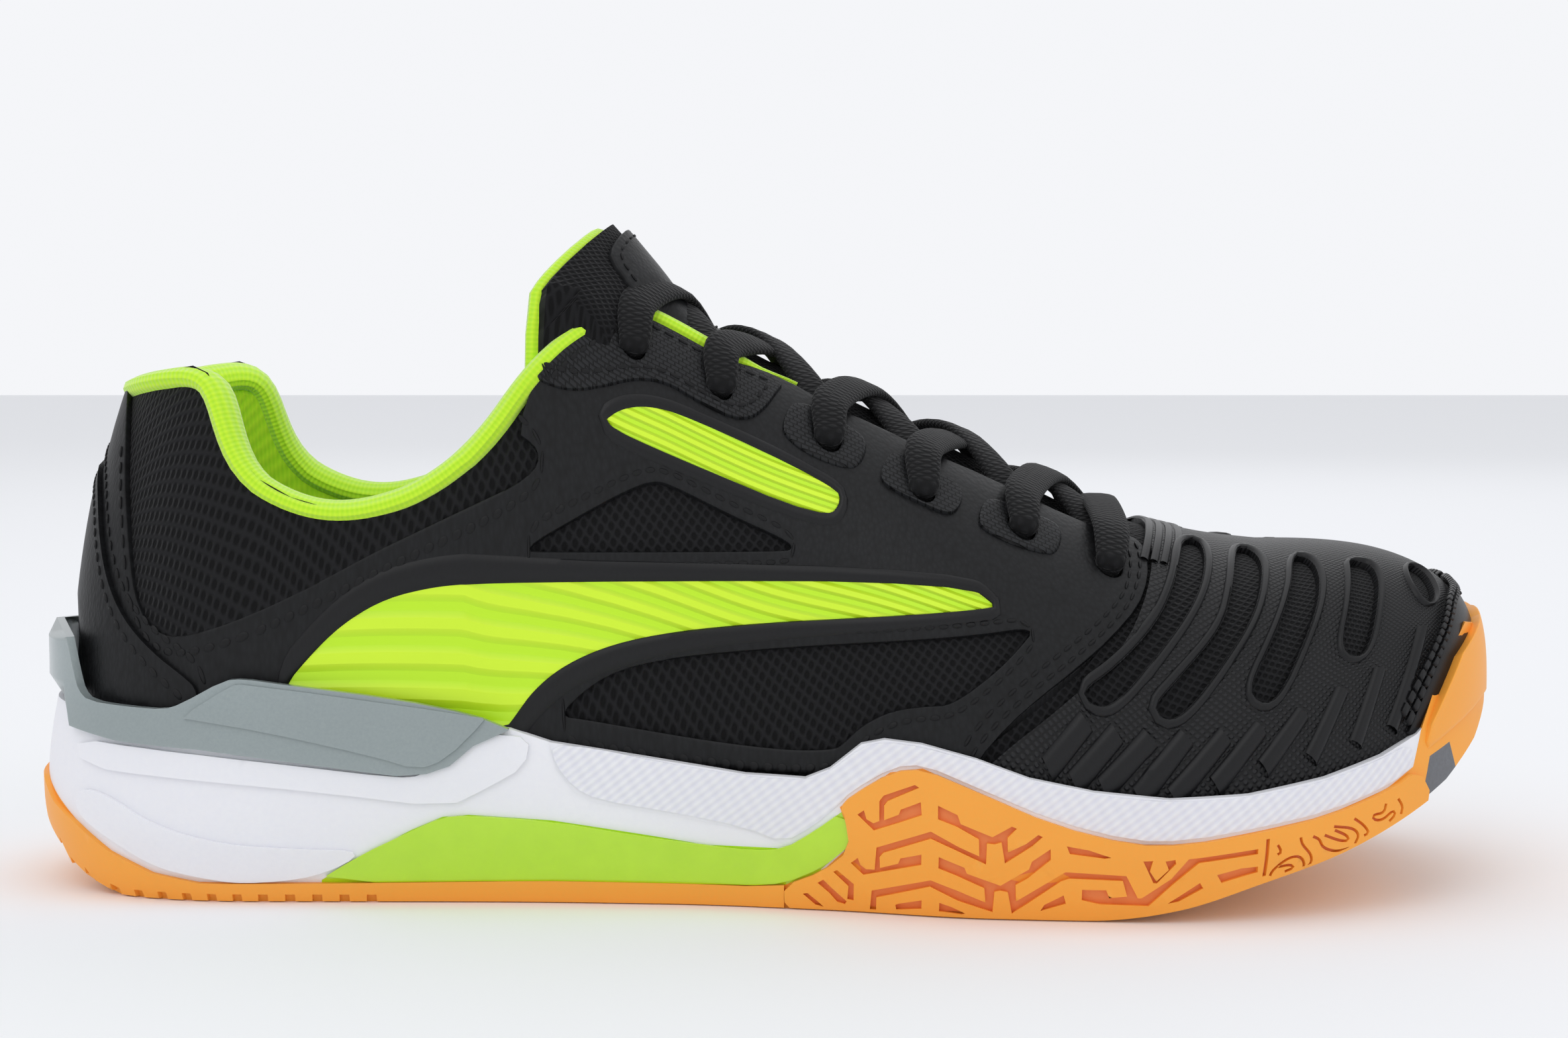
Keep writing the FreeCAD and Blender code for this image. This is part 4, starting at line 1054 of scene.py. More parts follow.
    def backstay(self) -> None:
        """The strip that runs up the heel and the stitching beside it."""
        half = [LAST.flat(x, z) for x, z in spaced(rounded(HEEL_STRIP, 2, False), 1.5, False)]
        top, foot = LAST.centre(-138.4), LAST.centre(FEATHER_BACK)
        outer = [top] + half + [LAST.flat(-118, 33), LAST.flat(-135, 34), foot]
        outline = outer + [LAST.mirrored(p) for p in reversed(outer[1:-1])]
        bm = cut_piece(outline, None, self.film, 2.4, 0.35)
        LAST.lay(bm, self.leather)
        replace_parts(piece("heel_stay", bm, COATED), "heel_strip")
        rows = []
        for gap, low in ((1.5, self.leather + self.film - 0.05), (-1.6, self.leather)):
            row = inset(even(half, 1.0, False), -gap, False)
            rows.append(stitches(LAST, row, low, False))
            rows.append(stitches(LAST, [LAST.mirrored(p) for p in row], low, False))
        piece("heel_stay_seams", join(*rows), THREAD)

    def build(self) -> None:
        """Make both quarters and the backstay."""
        for side in (LATERAL, MEDIAL):
            self.mesh(side)
            self.quarter(side)
            self.belt(side)
            self.eyestay(side)
        self.backstay()


TOE_SLOTS = [
    [(60.5, 40.1), (57.8, 42.8), (64.6, 47), (73.1, 54.7), (77.6, 61.7), (80.4, 68), (84.2, 68.4),
     (85.2, 66.9), (82.9, 61.6), (79, 56.1), (72, 48.5), (64.3, 40.7)],
    [(73.6, 37.5), (71.5, 40.1), (75.6, 44.3), (85.6, 54), (88.5, 60.5), (91.1, 66.2), (94, 66.8),
     (96.1, 65.2), (94.6, 61.4), (91.5, 55.5), (84.8, 47.3), (77.5, 39.1)],
    [(91.6, 40.2), (89.5, 43.1), (95.7, 52.9), (100.2, 60.3), (102.4, 65.1), (105.7, 65.1), (106.7, 62.7),
     (104.9, 57.7), (100.7, 50.7), (95.1, 41.4)],
    [(110.5, 47.7), (108, 49.9), (111.2, 57.6), (113, 62.5), (113.6, 64.4), (118.1, 63.8), (118.6, 61.3),
     (117.1, 57.3), (113.7, 49.1)],
    [(127.4, 56.6), (125.4, 60), (125.6, 62.4), (127.5, 62.9), (130, 61.9), (131, 60), (131, 57.8),
     (129.4, 56.4)],
]
FIN_TOPS = [(58.7, 37.5), (64.5, 35.4), (70.7, 34.6), (77.4, 34.6), (84.6, 34.7), (91.4, 35.9),
            (99.6, 38.3), (107.6, 42), (115.6, 45.3), (125.8, 52)]
FIN_FEET = [(51.5, 28.8), (56.4, 26.1), (61.8, 25.1), (68.4, 23.6), (74.9, 23.6), (82.7, 25.6),
            (91.8, 28.6), (101.1, 29.9), (110.2, 32), (117.9, 34.1)]
GUARD_INNER = [(139.6, 58.5), (134.3, 54.8), (131.5, 49.8), (128, 44.7), (124.1, 38.5), (121.2, 33.2)]


@dataclass
class ToeBox:
    """The net over the toes, the slotted film over it, its ribs and its guard."""

    film: float = 1.2
    rim: float = 1.5

    def outline(self, back: float = 0.0) -> list[Flat]:
        """The vamp's pattern: from the throat's front down to the sole, round the toe and up the inner side."""
        seam = [(76 - back, 80), (75 - back, 69.5), (72 - back, 60), (66 - back, 50), (54 - back, 40),
                (42 - back, 31), (36 - back, 24)]
        outer = [LAST.centre(74 - back)]
        outer += [LAST.flat(x, z) for x, z in spaced(rounded(seam, 2, False), 1.5, False)]
        outer += [(LAST.walk(x), 0.6) for x in range(int(40 - back), 142, 3)]
        tip = TOE_FOLD - 2.0
        outer += [(tip, 0.6)]
        outer += [(tip, v) for v in (12, 24, 36, 48)]
        chain = [p for p in outer if p[1] <= CREST + 1e-6]
        return chain + [(tip, CREST)] + [LAST.mirrored(p) for p in reversed(chain[1:])]

    def slots(self) -> list[list[Flat]]:
        """Each slot's outline; the outer and inner slots of a pair stop short of the middle."""
        made = []
        for side in (LATERAL, MEDIAL):
            made += [drawn(slot, side) for slot in TOE_SLOTS]
        return made

    def net(self) -> None:
        """The net that shows through the slots."""
        bm = cut_piece(self.outline(4.0), None, 1.2, 3.0, 0.0)
        LAST.lay(bm, -1.3)
        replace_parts(piece("toe_net", bm, NET), "vamp_mesh")

    def overlay(self) -> None:
        """The moulded film with its slots and a raised rim round each."""
        slots = self.slots()
        bm = cut_piece(self.outline(), slots, self.film, 2.4, 0.4)
        LAST.lay(bm, 0.0)
        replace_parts(piece("toe_film_overlay", bm, TOE_FILM), "toe_overlay")
        rims = bmesh.new()
        for slot in slots:
            add_ridge(rims, inset(even(slot, 1.2), -self.rim * 0.55), self.rim, 0.8, self.film - 0.15)
        beads("toe_slot_rims", rims)

    def fins(self) -> None:
        """The smooth slanted fins along the foot of the film."""
        bm = bmesh.new()
        for side in (LATERAL, MEDIAL):
            for top, foot in zip(FIN_TOPS, FIN_FEET):
                line = on_side(LAST, spaced([foot, top], 1.5, False), side)
                add_ridge(bm, line, 3.6, 1.3, self.film - 0.2, False)
        beads("toe_fins", bm)

    def ledges(self) -> None:
        """The stack of thin ridges in front of the last eyelet."""
        bm = bmesh.new()
        for count in range(4):
            x = 76.5 + count * 1.9
            line = [(LAST.walk(x - 0.12 * abs(v) - 0.004 * v * v), CREST + v)
                    for v in [i * 1.5 for i in range(-14, 15)]]
            add_ridge(bm, line, 1.5, 0.7, self.film - 0.15, False)
        beads("toe_ledges", bm)

    def guard(self) -> None:
        """The strip of small blocks between the film and the rubber bumper."""
        outer = [LAST.flat(x, z) for x, z in spaced(GUARD_INNER, 1.2, False)]
        chain = [LAST.centre(139.4)] + outer
        chain += [LAST.flat(125, 30), LAST.flat(135, 38), LAST.centre(142.2)]
        outline = chain + [LAST.mirrored(p) for p in reversed(chain[1:-1])]
        bm = cut_piece(outline, None, 0.8, 2.4, 0.3)
        LAST.lay(bm, self.film)
        blocks = bmesh.new()
        line = even([LAST.mirrored(p) for p in reversed(outer)][:-1] + outer, 2.6, False)
        for row in range(2):
            moved = inset(line, -1.7 - row * 2.4, False)
            for a, b in zip(moved, moved[1:]):
                way = Vector(b) - Vector(a)
                place = (Matrix.Translation(((Vector(a) + Vector(b)) / 2).to_3d() + Vector((0, 0, 0.4)))
                         @ Matrix.Rotation(math.atan2(way.y, way.x), 4, "Z")
                         @ Matrix.Diagonal((way.length * 0.74, 1.8, 1.0, 1)))
                bmesh.ops.create_cube(blocks, size=1.0, matrix=place)
        bmesh.ops.bevel(blocks, geom=blocks.edges[:], offset=0.22, offset_type="OFFSET", segments=1, profile=0.5,
                        affect="EDGES", clamp_overlap=True, material=-1)
        keep_pattern(blocks)
        LAST.lay(blocks, self.film + 0.75)
        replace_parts(piece("toe_guard_strip", join(bm, blocks), SMOOTH_FILM), "toe_guard")

    def build(self) -> None:
        """Make the whole toe."""
        self.net()
        self.overlay()
        self.fins()
        self.ledges()
        self.guard()


# ------------------------------------------------------------------ collar and tongue
@dataclass
class Collar:
    """The padded collar's knit: a rolled edge along the topline and the lining inside."""

    roll: float = 2.7

    def top_run(self) -> list[Flat]:
        """The topline's pattern points from the outer eyestay round the heel to the inner one."""
        outer = [LAST.flat(x, z) for x, z in
                 spaced(rounded(TOPLINE + THROAT[:3] + [(4.2, 99.4)], 2, False), 1.2, False)]
        outer = list(reversed(outer)) + [LAST.centre(-131.2)]
        return outer + [LAST.mirrored(p) for p in reversed(outer[:-1])]

    def edge(self) -> None:
        """The rolled edge."""
        run = even(self.top_run(), 1.8, False)
        path, outs, wides, highs = [], [], [], []
        for i, (u, v) in enumerate(run):
            at = i / (len(run) - 1)
            fade = clamp(min(at, 1 - at) * 26, 0.25, 1.0)
            front = clamp((LAST.unwalk(u, 0) + 52) / 18, 0, 1)
            rise = front * (0.9 if v < CREST else -0.9)
            path.append(LAST.place(u, v + rise, -3.2 + 3.0 * front) * MM)
            outs.append(LAST.outward(u, v, 0))
            wides.append(self.roll * (1 - 0.2 * front) * fade * MM)
            highs.append((5.0 - 2.5 * front) * max(fade, 0.5) * MM)
        bm = sweep(path, outs, wides, highs, 14)
        made = piece("collar_roll", bm, LINING)

    def lining(self) -> None:
        """The knit inside the collar, from the rolled edge down to the sockliner."""
        top = self.top_run()
        outer = [p for p in top if p[1] <= CREST + 0.01]
        foot = [(LAST.walk(x), 2.0) for x in range(2, -138, -6)] + [(LAST.walk(FEATHER_BACK), 2.0)]
        chain = list(reversed(outer)) + foot
        outline = chain + [LAST.mirrored(p) for p in reversed(chain[1:])]
        bm = cut_piece(outline, None, 1.0, 3.4, 0.0)
        for vert in bm.verts:
            x = LAST.unwalk(vert.co.x, 0)
            under = 10.0 if x < -60 else 6.0
            height = LAST.place(vert.co.x, vert.co.y, 0).z
            brim = 76 + max(0.0, abs(x + 84) - 14) * 0.7
            vert.co.z -= 0.7 * clamp((brim - height) / under, 0, 1)
        LAST.lay(bm, -7.1)
        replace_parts(piece("collar_knit", bm, LINING), "collar_lining", "collar_foam", "heel_foam")

    def build(self) -> None:
        """Make the edge and the lining."""
        self.edge()
        self.lining()


@dataclass
class TongueForm(Surface):
    """The arched strip that the tongue is cut to."""

    ridge: list[tuple[float, float, float]] = field(default_factory=lambda: [
        (74, -3.5, 20), (60, -1.5, 22), (35, -0.5, 25), (10, -0.5, 28), (-6, -0.5, 30), (-16, 0.5, 31),
        (-25, 6.5, 31), (-31.5, 10.5, 28)])
    stations: list[tuple[float, Vector, Vector, float]] = field(default_factory=list)

    def __post_init__(self) -> None:
        """Work out each station's place, its normal and how far its edges hang."""
        crest = [Vector((x, 0, LAST.ridge(x, 0) + rise)) for x, rise, _ in self.ridge]
        run = 0.0
        for i, (_, _, half) in enumerate(self.ridge):
            way = (crest[min(i + 1, len(crest) - 1)] - crest[max(i - 1, 0)]).normalized()
            up = Vector((way.z, 0, -way.x))
            if i:
                run += (crest[i] - crest[i - 1]).length
            fall = 0.0
            while fall < 23.0:
                edge = crest[i] - up * fall
                level = min(self.level(edge.x, s * half) for s in (LATERAL, MEDIAL))
                if edge.z < level:
                    break
                fall += 0.25
            self.stations.append((run, crest[i], up, fall))

    def level(self, x: float, y: float) -> float:
        """Height of the lining's inner face over a point."""
        side = LATERAL if y < drift(x) else MEDIAL
        power = smooth(LAST.roundness, x)
        ratio = min(1.0, abs(y - drift(x)) / LAST.half(x, side, -6.2))
        low = LAST.low(x)
        return low + (LAST.ridge(x, -6.2) - low) * (1 - ratio ** power) ** (1 / power)

    @property
    def length(self) -> float:
        """Length of the tongue along its ridge."""
        return self.stations[-1][0]

    def half(self, u: float) -> float:
        """Half width of the tongue at a length."""
        return smooth([(s[0], r[2]) for s, r in zip(self.stations, self.ridge)], clamp(u, 0, self.length))

    def place(self, u: float, v: float, grow: float) -> Vector:
        """Where a pattern's point lies on the tongue."""
        at = clamp(u, 0, self.length)
        x = smooth([(s[0], -s[1].x) for s in self.stations], at)
        z = smooth([(s[0], s[1].z) for s in self.stations], at)
        lean = smooth([(s[0], math.atan2(-s[2].x, s[2].z)) for s in self.stations], at)
        fall = smooth([(s[0], s[3]) for s in self.stations], at)
        up = Vector((-math.sin(lean), 0, math.cos(lean)))
        way = Vector((-math.cos(lean), 0, -math.sin(lean)))
        share = abs(v) / self.half(u)
        drop = fall * share ** 1.75
        crest = Vector((-x, 0, z)) + way * (u - at)
        slope = math.atan2(fall * 1.75 * share ** 0.75, self.half(u)) * 0.8
        out = up * math.cos(slope) - Vector((0, math.copysign(math.sin(slope), v or 1.0), 0))
        base = crest - Vector((0, v * 0.94, 0)) - up * drop
        free = max(0.0, 13 - abs(base.y)) * 1.2 + clamp((-24 - base.x) / 12, 0, 1) * 30
        base.z = min(base.z, self.level(base.x, base.y) + 1.8 + free)
        return base + out * grow


@dataclass
class Tongue:
    """The padded tongue: net outside, knit inside, a knit edge and a plain patch at the top."""

    thick: float = 5.0
    form: TongueForm = field(default_factory=TongueForm)

    def outline(self, less: float = 0.0) -> list[Flat]:
        """The tongue's pattern, straight at the root and rounded at the tip."""
        tip = self.form.length + 2.0 - less
        side = [(u, self.form.half(u) - 1.0 - less) for u in [i * 6.0 for i in range(int((tip - 12) / 6) + 1)]]
        corner = [(tip - 5, side[-1][1] - 2.0), (tip - 1, side[-1][1] - 9.0), (tip, 0.0)]
        right = side + corner
        left = [(u, -v) for u, v in reversed(right[:-1])]
        return spaced(rounded(right + left, 2), 2.0)

    def build(self) -> None:
        """Make the padded body, its knit edge and its patch."""
        flat = cut_piece(self.outline(), None, self.thick, 3.2, 1.9)
        middle = self.form.length * 0.5
        for vert in flat.verts:
            if vert.co.z > self.thick * 0.5:
                edge = self.form.half(vert.co.x) - abs(vert.co.y)
                end = self.form.length - vert.co.x
                vert.co.z += 0.9 * clamp(min(edge, end) / 7, 0, 1) - 0.3
        self.form.lay(flat, -self.thick)
        body = piece("tongue_pad", flat, TONGUE_NET, 60)
        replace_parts(body, "tongue_mesh", "tongue_foam")
        knit = cut_piece(self.outline(1.2), None, 1.0, 3.2, 0.3)
        self.form.lay(knit, -self.thick - 0.9)
        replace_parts(piece("tongue_knit", knit, LINING), "tongue_lining")
        run = [p for p in even(self.outline(0.2), 1.8) if p[0] > middle]
        run.sort(key=lambda p: math.atan2(p[1], p[0] - self.form.length + 12))
        path = [self.form.place(u, v, -self.thick + 0.8) * MM for u, v in run]
        outs = [self.form.outward(u, v, 0) for u, v in run]
        edge = sweep(path, outs, [1.9 * MM] * len(path), [1.7 * MM] * len(path), 10)
        piece("tongue_edge", edge, LINING)
        tip = self.form.length
        patch = rounded([(tip - 30, -15), (tip - 5, -15), (tip - 1, -9), (tip - 1, 9), (tip - 5, 15),
                         (tip - 30, 15)], 2)
        bm = cut_piece(spaced(patch, 1.5), None, 1.0, 2.6, 0.35)
        self.form.lay(bm, 0.5)
        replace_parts(piece("tongue_label_blank", bm, COATED), "tongue_patch")
        piece("tongue_label_seam", stitches(self.form, inset(even(spaced(patch, 1.5), 1.0), 1.8), 1.5), THREAD)


# ------------------------------------------------------------------ lace
@dataclass
class Lacing:
    """One flat lace: a bar between the front eyelets, then crossings up to the top ones."""

    half_width: float = 3.9
    half_height: float = 1.1
    over: float = 1.2 + 0.9 + 1.0       # leather, pad and room for the lace
    throat: float = 13.0

    def eyelet(self, at: int, side: int) -> tuple[Vector, Vector]:
        """An eyelet's middle on the leather, and the way out of it."""
        u, v = on_side(LAST, [EYELETS[at]], side)[0]
        return LAST.place(u, v, 1.2), LAST.outward(u, v, 1.2)

    def over_form(self, x: float, y: float, grow: float) -> Vector:
        """The point of the grown form that lies over (x, y)."""
        side = LATERAL if y < drift(x) else MEDIAL
        power = smooth(LAST.roundness, x)
        ratio = min(1.0, abs(y - drift(x)) / LAST.half(x, side, grow))
        low = LAST.low(x)
        return Vector((x, y, low + (LAST.ridge(x, grow) - low) * (1 - ratio ** power) ** (1 / power)))

    def into(self, at: int, side: int) -> list[tuple[Vector, Vector, float]]:
        """Points, ups and width shares where the lace runs over the eyestay into an eyelet."""
        here, out = self.eyelet(at, side)
        edge = self.over_form(here.x + 1.2, here.y * 0.74, self.over + 0.5)
        way = (here - edge).normalized()
        return [(edge, out, 1.0), (here + out * 1.7 - way * 0.8, (out + way * 0.5).normalized(), 0.8),
                (here - out * 0.6, (way + out * 0.2).normalized(), 0.68), (here - out * 4.2, way, 0.55)]

    def run(self, points: list[tuple[Vector, Vector, float]]) -> bmesh.types.BMesh:
        """Weave one run of lace through its points.

        Args:
            points: places in millimetres, ups, and shares of the full width.

        Returns:
            The run, in place.
        """
        path, outs, wides, highs = [], [], [], []
        steps = 7
        for i in range(len(points) - 1):
            p0, p1, p2, p3 = (points[max(0, min(len(points) - 1, i + k))] for k in (-1, 0, 1, 2))
            for step in range(steps + (i == len(points) - 2)):
                t = step / steps
                place = 0.5 * ((2 * p1[0]) + (p2[0] - p0[0]) * t
                               + (2 * p0[0] - 5 * p1[0] + 4 * p2[0] - p3[0]) * t ** 2
                               + (3 * p1[0] - p0[0] - 3 * p2[0] + p3[0]) * t ** 3)
                share = p1[2] + (p2[2] - p1[2]) * t
                path.append(place * MM)
                outs.append(p1[1].lerp(p2[1], t).normalized())
                wides.append(self.half_width * share * MM)
                highs.append(self.half_height * (1 + (1 - share) * 0.9) * MM)
        return sweep(path, outs, wides, highs, 14, 2.6)

    def build(self) -> None:
        """Make the bar and the crossings."""
        up = Vector((0, 0, 1))
        left, right = self.into(5, LATERAL), self.into(5, MEDIAL)
        x = EYELETS[5][0] + 1.2
        crown = (Vector((x, 0, LAST.ridge(x, 2.6))), up, 1.0)
        runs = [self.run(list(reversed(left)) + [crown] + right)]
        for at in range(5, 0, -1):
            for side in (LATERAL, MEDIAL):
                here, out = self.eyelet(at, side)
                start = (here - out * 4.6, out, 0.8)
                rise = self.over_form(here.x - 1.0, side * self.throat, -1.2)
                middle = (EYELETS[at][0] + EYELETS[at - 1][0]) / 2
                lift = 4.3 if (side == LATERAL) == (at % 2 == 0) else 2.4
                crown = (Vector((middle, 0, LAST.ridge(middle, lift))), Vector((0.4, 0, 1)).normalized(), 1.0)
                emerge = (rise, (out + up).normalized(), 1.0)
                runs.append(self.run([start, emerge, crown] + self.into(at - 1, -side)))
        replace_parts(piece("flat_lace", join(*runs), LACE, 60), "lace")


# ------------------------------------------------------------------ the bottom unit
CAGE_LOW = [(-140.5, 39.3), (-138.3, 33.5), (-127, 31.7), (-110.6, 30.7), (-87.8, 27.7), (-72.8, 25.8),
            (-66.8, 26.2), (-62.4, 27.7), (-57.9, 31.5), (-51.1, 34.5)]
CAGE_TOP = [(-51.1, 34.7), (-57.9, 37.4), (-72.8, 40.4), (-95.3, 43.3), (-102.2, 44.3), (-106, 44),
            (-114.5, 39.3), (-117.8, 38.2), (-125.3, 38.4), (-134.3, 38.9), (-136.7, 40.6), (-137.9, 43.6),
            (-139.7, 50.8)]
SHANK = [(-89.3, 4.1), (-80.3, 9.8), (-69.8, 15), (-63.9, 17.6), (-59.4, 18), (-42.9, 16.9), (-27.9, 14.5),
         (-13, 12.6), (-4, 11.9), (1.9, 12.4), (7.8, 16.3), (12.9, 20.2), (15.1, 14.4), (9.3, 8.9),
         (1.9, 5.3), (-5.5, 4.5), (-42.9, 4.7)]
WRAP_TOP = [(1.9, 5), (9.3, 8.2), (14.4, 12.9), (13.4, 19.5), (12.5, 20.9), (14.4, 23.2), (22.4, 28.3),
            (28.2, 29), (38.2, 25.1), (52.5, 19.1), (66.8, 15.6), (76.9, 15.6), (91.9, 17.9), (104.3, 20.1),
            (117.4, 24.1), (123, 27.1)]
SOLE_BOTTOM = [(-148.5, 24), (-147.5, 16), (-143, 8.5), (-137, 3), (-129, 0), (60, 0), (75, 2), (92, 7.3),
               (105, 11.5), (121, 18.5), (131, 24), (139, 30.5), (145, 38), (148.5, 46)]
BUMPER_TOP = [(123.6, 30.5), (124.6, 33.8), (128.3, 39.5), (132.4, 45.7), (140, 51.6)]
INNER_WRAP = [(1.9, 4.5), (20, 5.5), (34, 12), (67, 13), (77, 13.5), (92, 16), (104, 19), (117.4, 24),
              (123, 27)]
BAND_TOP = [(-148, 22.4), (-146.2, 21.6), (-142.5, 17.6), (-137.3, 14.4), (-130.5, 9.4), (-122, 5.6),
            (-112.2, 3.9), (-89.3, 4), (-42.9, 4.7), (-5.5, 4.5), (1.9, 5)]
GROOVES = [
    [(15.8, 19.9), (17.0, 20.8), (17.5, 19.1), (18.8, 18.4), (19.9, 18.9), (19.9, 22.7), (20.7, 23.8),
     (26.5, 26.1), (27.3, 25.6), (21.5, 22.8), (20.8, 21.9), (20.8, 19.1), (23.5, 20.3), (23.9, 21.3),
     (27.6, 22.9), (27.8, 20.4), (23.7, 18.8), (18.9, 17.0)],
    [(30.8, 22.4), (30.8, 19.8), (34.4, 18.5), (38.4, 16.3), (38.5, 13.0), (34.8, 14.6), (29.5, 17.4),
     (19.4, 13.7), (19.1, 9.2), (17.5, 9.2), (16.4, 10.0), (15.9, 11.4), (14.6, 10.3), (17.0, 8.0),
     (27.8, 10.7), (27.8, 12.8), (23.9, 11.8), (23.5, 10.7), (20.1, 9.6), (20.0, 11.8), (20.7, 12.7),
     (29.5, 16.0), (34.8, 13.7), (39.8, 11.4), (39.9, 15.5), (41.3, 15.4), (42.6, 15.8), (43.3, 11.7),
     (48.3, 15.2), (50.2, 17.0), (49.4, 17.4), (47.1, 15.6), (43.8, 13.9), (43.7, 16.7), (45.4, 18.5),
     (44.5, 18.9), (40.9, 16.8), (35.0, 19.1), (34.4, 20.8)],
    [(31.0, 12.5), (31.0, 10.2), (34.4, 8.9), (39.6, 6.6), (39.9, 3.7), (34.8, 5.8), (29.6, 7.7),
     (18.6, 4.9), (18.3, 0.7), (19.5, 0.8), (19.5, 3.5), (29.5, 6.4), (34.8, 3.8), (41.3, 1.7), (41.5, 5.9),
     (42.6, 6.2), (44.0, 5.9), (44.9, 1.5), (53.8, 8.3), (55.3, 8.9), (65.3, 8.6), (66.2, 5.5), (62.9, 5.1),
     (62.3, 6.7), (57.8, 6.7), (57.8, 4.6), (61.2, 3.8), (70.3, 3.6), (74.6, 7.9), (79.3, 12.2),
     (90.3, 13.6), (90.3, 14.6), (79.3, 13.2), (77.3, 13.0), (74.3, 9.1), (68.9, 5.2), (68.2, 5.2),
     (65.9, 9.6), (54.6, 10.2), (53.4, 9.4), (45.6, 4.1), (45.4, 7.4), (47.5, 8.7), (51.8, 12.6),
     (51.7, 14.7), (48.3, 12.2), (47.8, 10.6), (42.6, 7.2), (36.3, 9.4), (35.8, 10.6)],
    [(23.1, 2.2), (23.7, 2.5), (28.0, 3.5), (28.0, 1.7), (23.3, 1.2)],
    [(50.9, 3.5), (54.4, 5.5), (54.9, 3.8), (50.2, 2.2)],
    [(31.3, 3.2), (33.5, 2.5), (36.2, 1.2), (35.6, 1.0), (31.3, 1.4)],
    [(54.7, 15.3), (58.8, 14.6), (63.0, 13.2), (61.8, 13.0), (55.3, 13.8)],
    [(11.3, 8.3), (12.0, 8.7), (15.2, 6.0), (15.2, 2.6), (14.0, 2.8), (14.2, 5.5)],
    [(8.3, 5.9), (9.4, 6.6), (10.8, 5.2), (13.9, 2.3), (13.6, 1.7), (12.1, 2.1), (10.6, 3.9)],
    [(5.5, 3.5), (6.4, 3.7), (8.6, 1.8), (9.5, 0.9), (7.9, 1.3)],
    [(82.9, 9.7), (87.5, 10.9), (90.6, 11.1), (90.7, 10.0), (87.7, 9.2), (83.9, 8.1)],
    [(73.9, 4.1), (79.8, 8.2), (80.5, 7.1), (76.0, 4.5)],
    [(68.9, 12.6), (70.7, 12.7), (70.2, 10.6), (71.5, 8.6), (73.7, 10.9), (73.0, 12.6), (74.8, 12.9),
     (75.0, 12.1), (71.6, 8.2), (71.0, 8.2)],
    [(91.7, 16.4), (92.4, 16.5), (92.4, 9.2), (91.7, 9.0)],
]
CONTOURS = [
    [(93.2, 9.1), (93.6, 10.3), (96.3, 12.6), (98.6, 12.8), (99.8, 11.1), (99.5, 9.9)],
    [(94.6, 10.8), (96.9, 11.2), (97.9, 10.5), (96.0, 9.8)],
    [(94.0, 15.2), (94.9, 13.8), (94.1, 13.3)],
    [(98.4, 16.4), (98.7, 15.0), (100.8, 12.9), (101.1, 11.3), (100.5, 10.6)],
    [(100.8, 16.4), (102.2, 15.8), (102.8, 14.1), (105.8, 13.0), (108.3, 13.5)],
    [(103.1, 16.5), (106.1, 15.2), (108.0, 14.9), (108.0, 15.9), (105.1, 17.3)],
    [(104.9, 18.0), (108.9, 17.4), (110.2, 15.9), (109.5, 14.3)],
    [(109.0, 19.2), (111.0, 17.8), (112.3, 16.1), (111.2, 15.7)],
    [(115.6, 21.4), (115.2, 19.6), (112.9, 19.6), (112.9, 18.6), (114.9, 18.2), (117.3, 20.1),
     (117.7, 19.0), (116.4, 17.9)],
    [(118.2, 22.1), (119.3, 20.4), (118.9, 19.0)],
]
HEEL_LEDGE = [(-137.4, 31.4), (-116.9, 30.2), (-93.5, 27.7), (-72.7, 25.3), (-67.9, 25.7), (-62.5, 29.0),
              (-54.8, 33.7), (-47.0, 33.0), (-48, 27.5), (-55, 23.5), (-63.1, 19.5), (-87.6, 22.5),
              (-114.3, 25.0), (-135.0, 26.2)]
HEEL_SWELL = [(-129.3, 20.9), (-120.3, 15.6), (-107.0, 12.0), (-92.3, 11.1), (-78.3, 10.8), (-88.8, 5.2),
              (-103.3, 3.8), (-111.9, 5.0), (-121.6, 7.0), (-130.4, 12.3), (-137.0, 16.7), (-135.8, 21.8)]
CAGE_FACET = [(-114.3, 36.7), (-104.5, 43.1), (-102.0, 43.4), (-56.0, 37.1), (-55.7, 36.3), (-63.1, 29.0),
              (-68.5, 27.1), (-76.8, 29.6), (-98.4, 34.3), (-111.3, 36.4)]
FRONT_SKIN = [(-42.9, 31.6), (-35.4, 31.2), (-20.5, 28.3), (-5.5, 26.2), (6.3, 25.8), (10.7, 27.8),
              (16.6, 32.5), (21, 33.7), (28.2, 33), (38.2, 30.5), (48.2, 27.2), (59.6, 24.9), (74, 23.6),
              (88.8, 24.2), (104.3, 26.6), (115.7, 29.8), (122.5, 32), (123, 28), (117.4, 24.9),
              (104.3, 20.9), (91.9, 18.7), (76.9, 16.4), (66.8, 16.4), (52.5, 19.9), (38.2, 25.9),
              (28.2, 29.8), (22.4, 29.1), (14.4, 24), (12.5, 21.7), (7.8, 17.4), (1.9, 13.7), (-5.5, 16.4),
              (-20.5, 19.1), (-33.9, 21.2), (-38.4, 23.4), (-42.1, 27.9)]


def tread(x: float) -> float:
    """Height of the sole's underside at x."""
    return smooth(SOLE_BOTTOM, x)


def slit(line: list[Flat], width: float) -> list[Flat]:
    """A narrow closed shape along an open line."""
    fine = even(rounded(line, 2, False), 0.6, False)
    return inset(fine, width / 2, False) + list(reversed(inset(fine, -width / 2, False)))


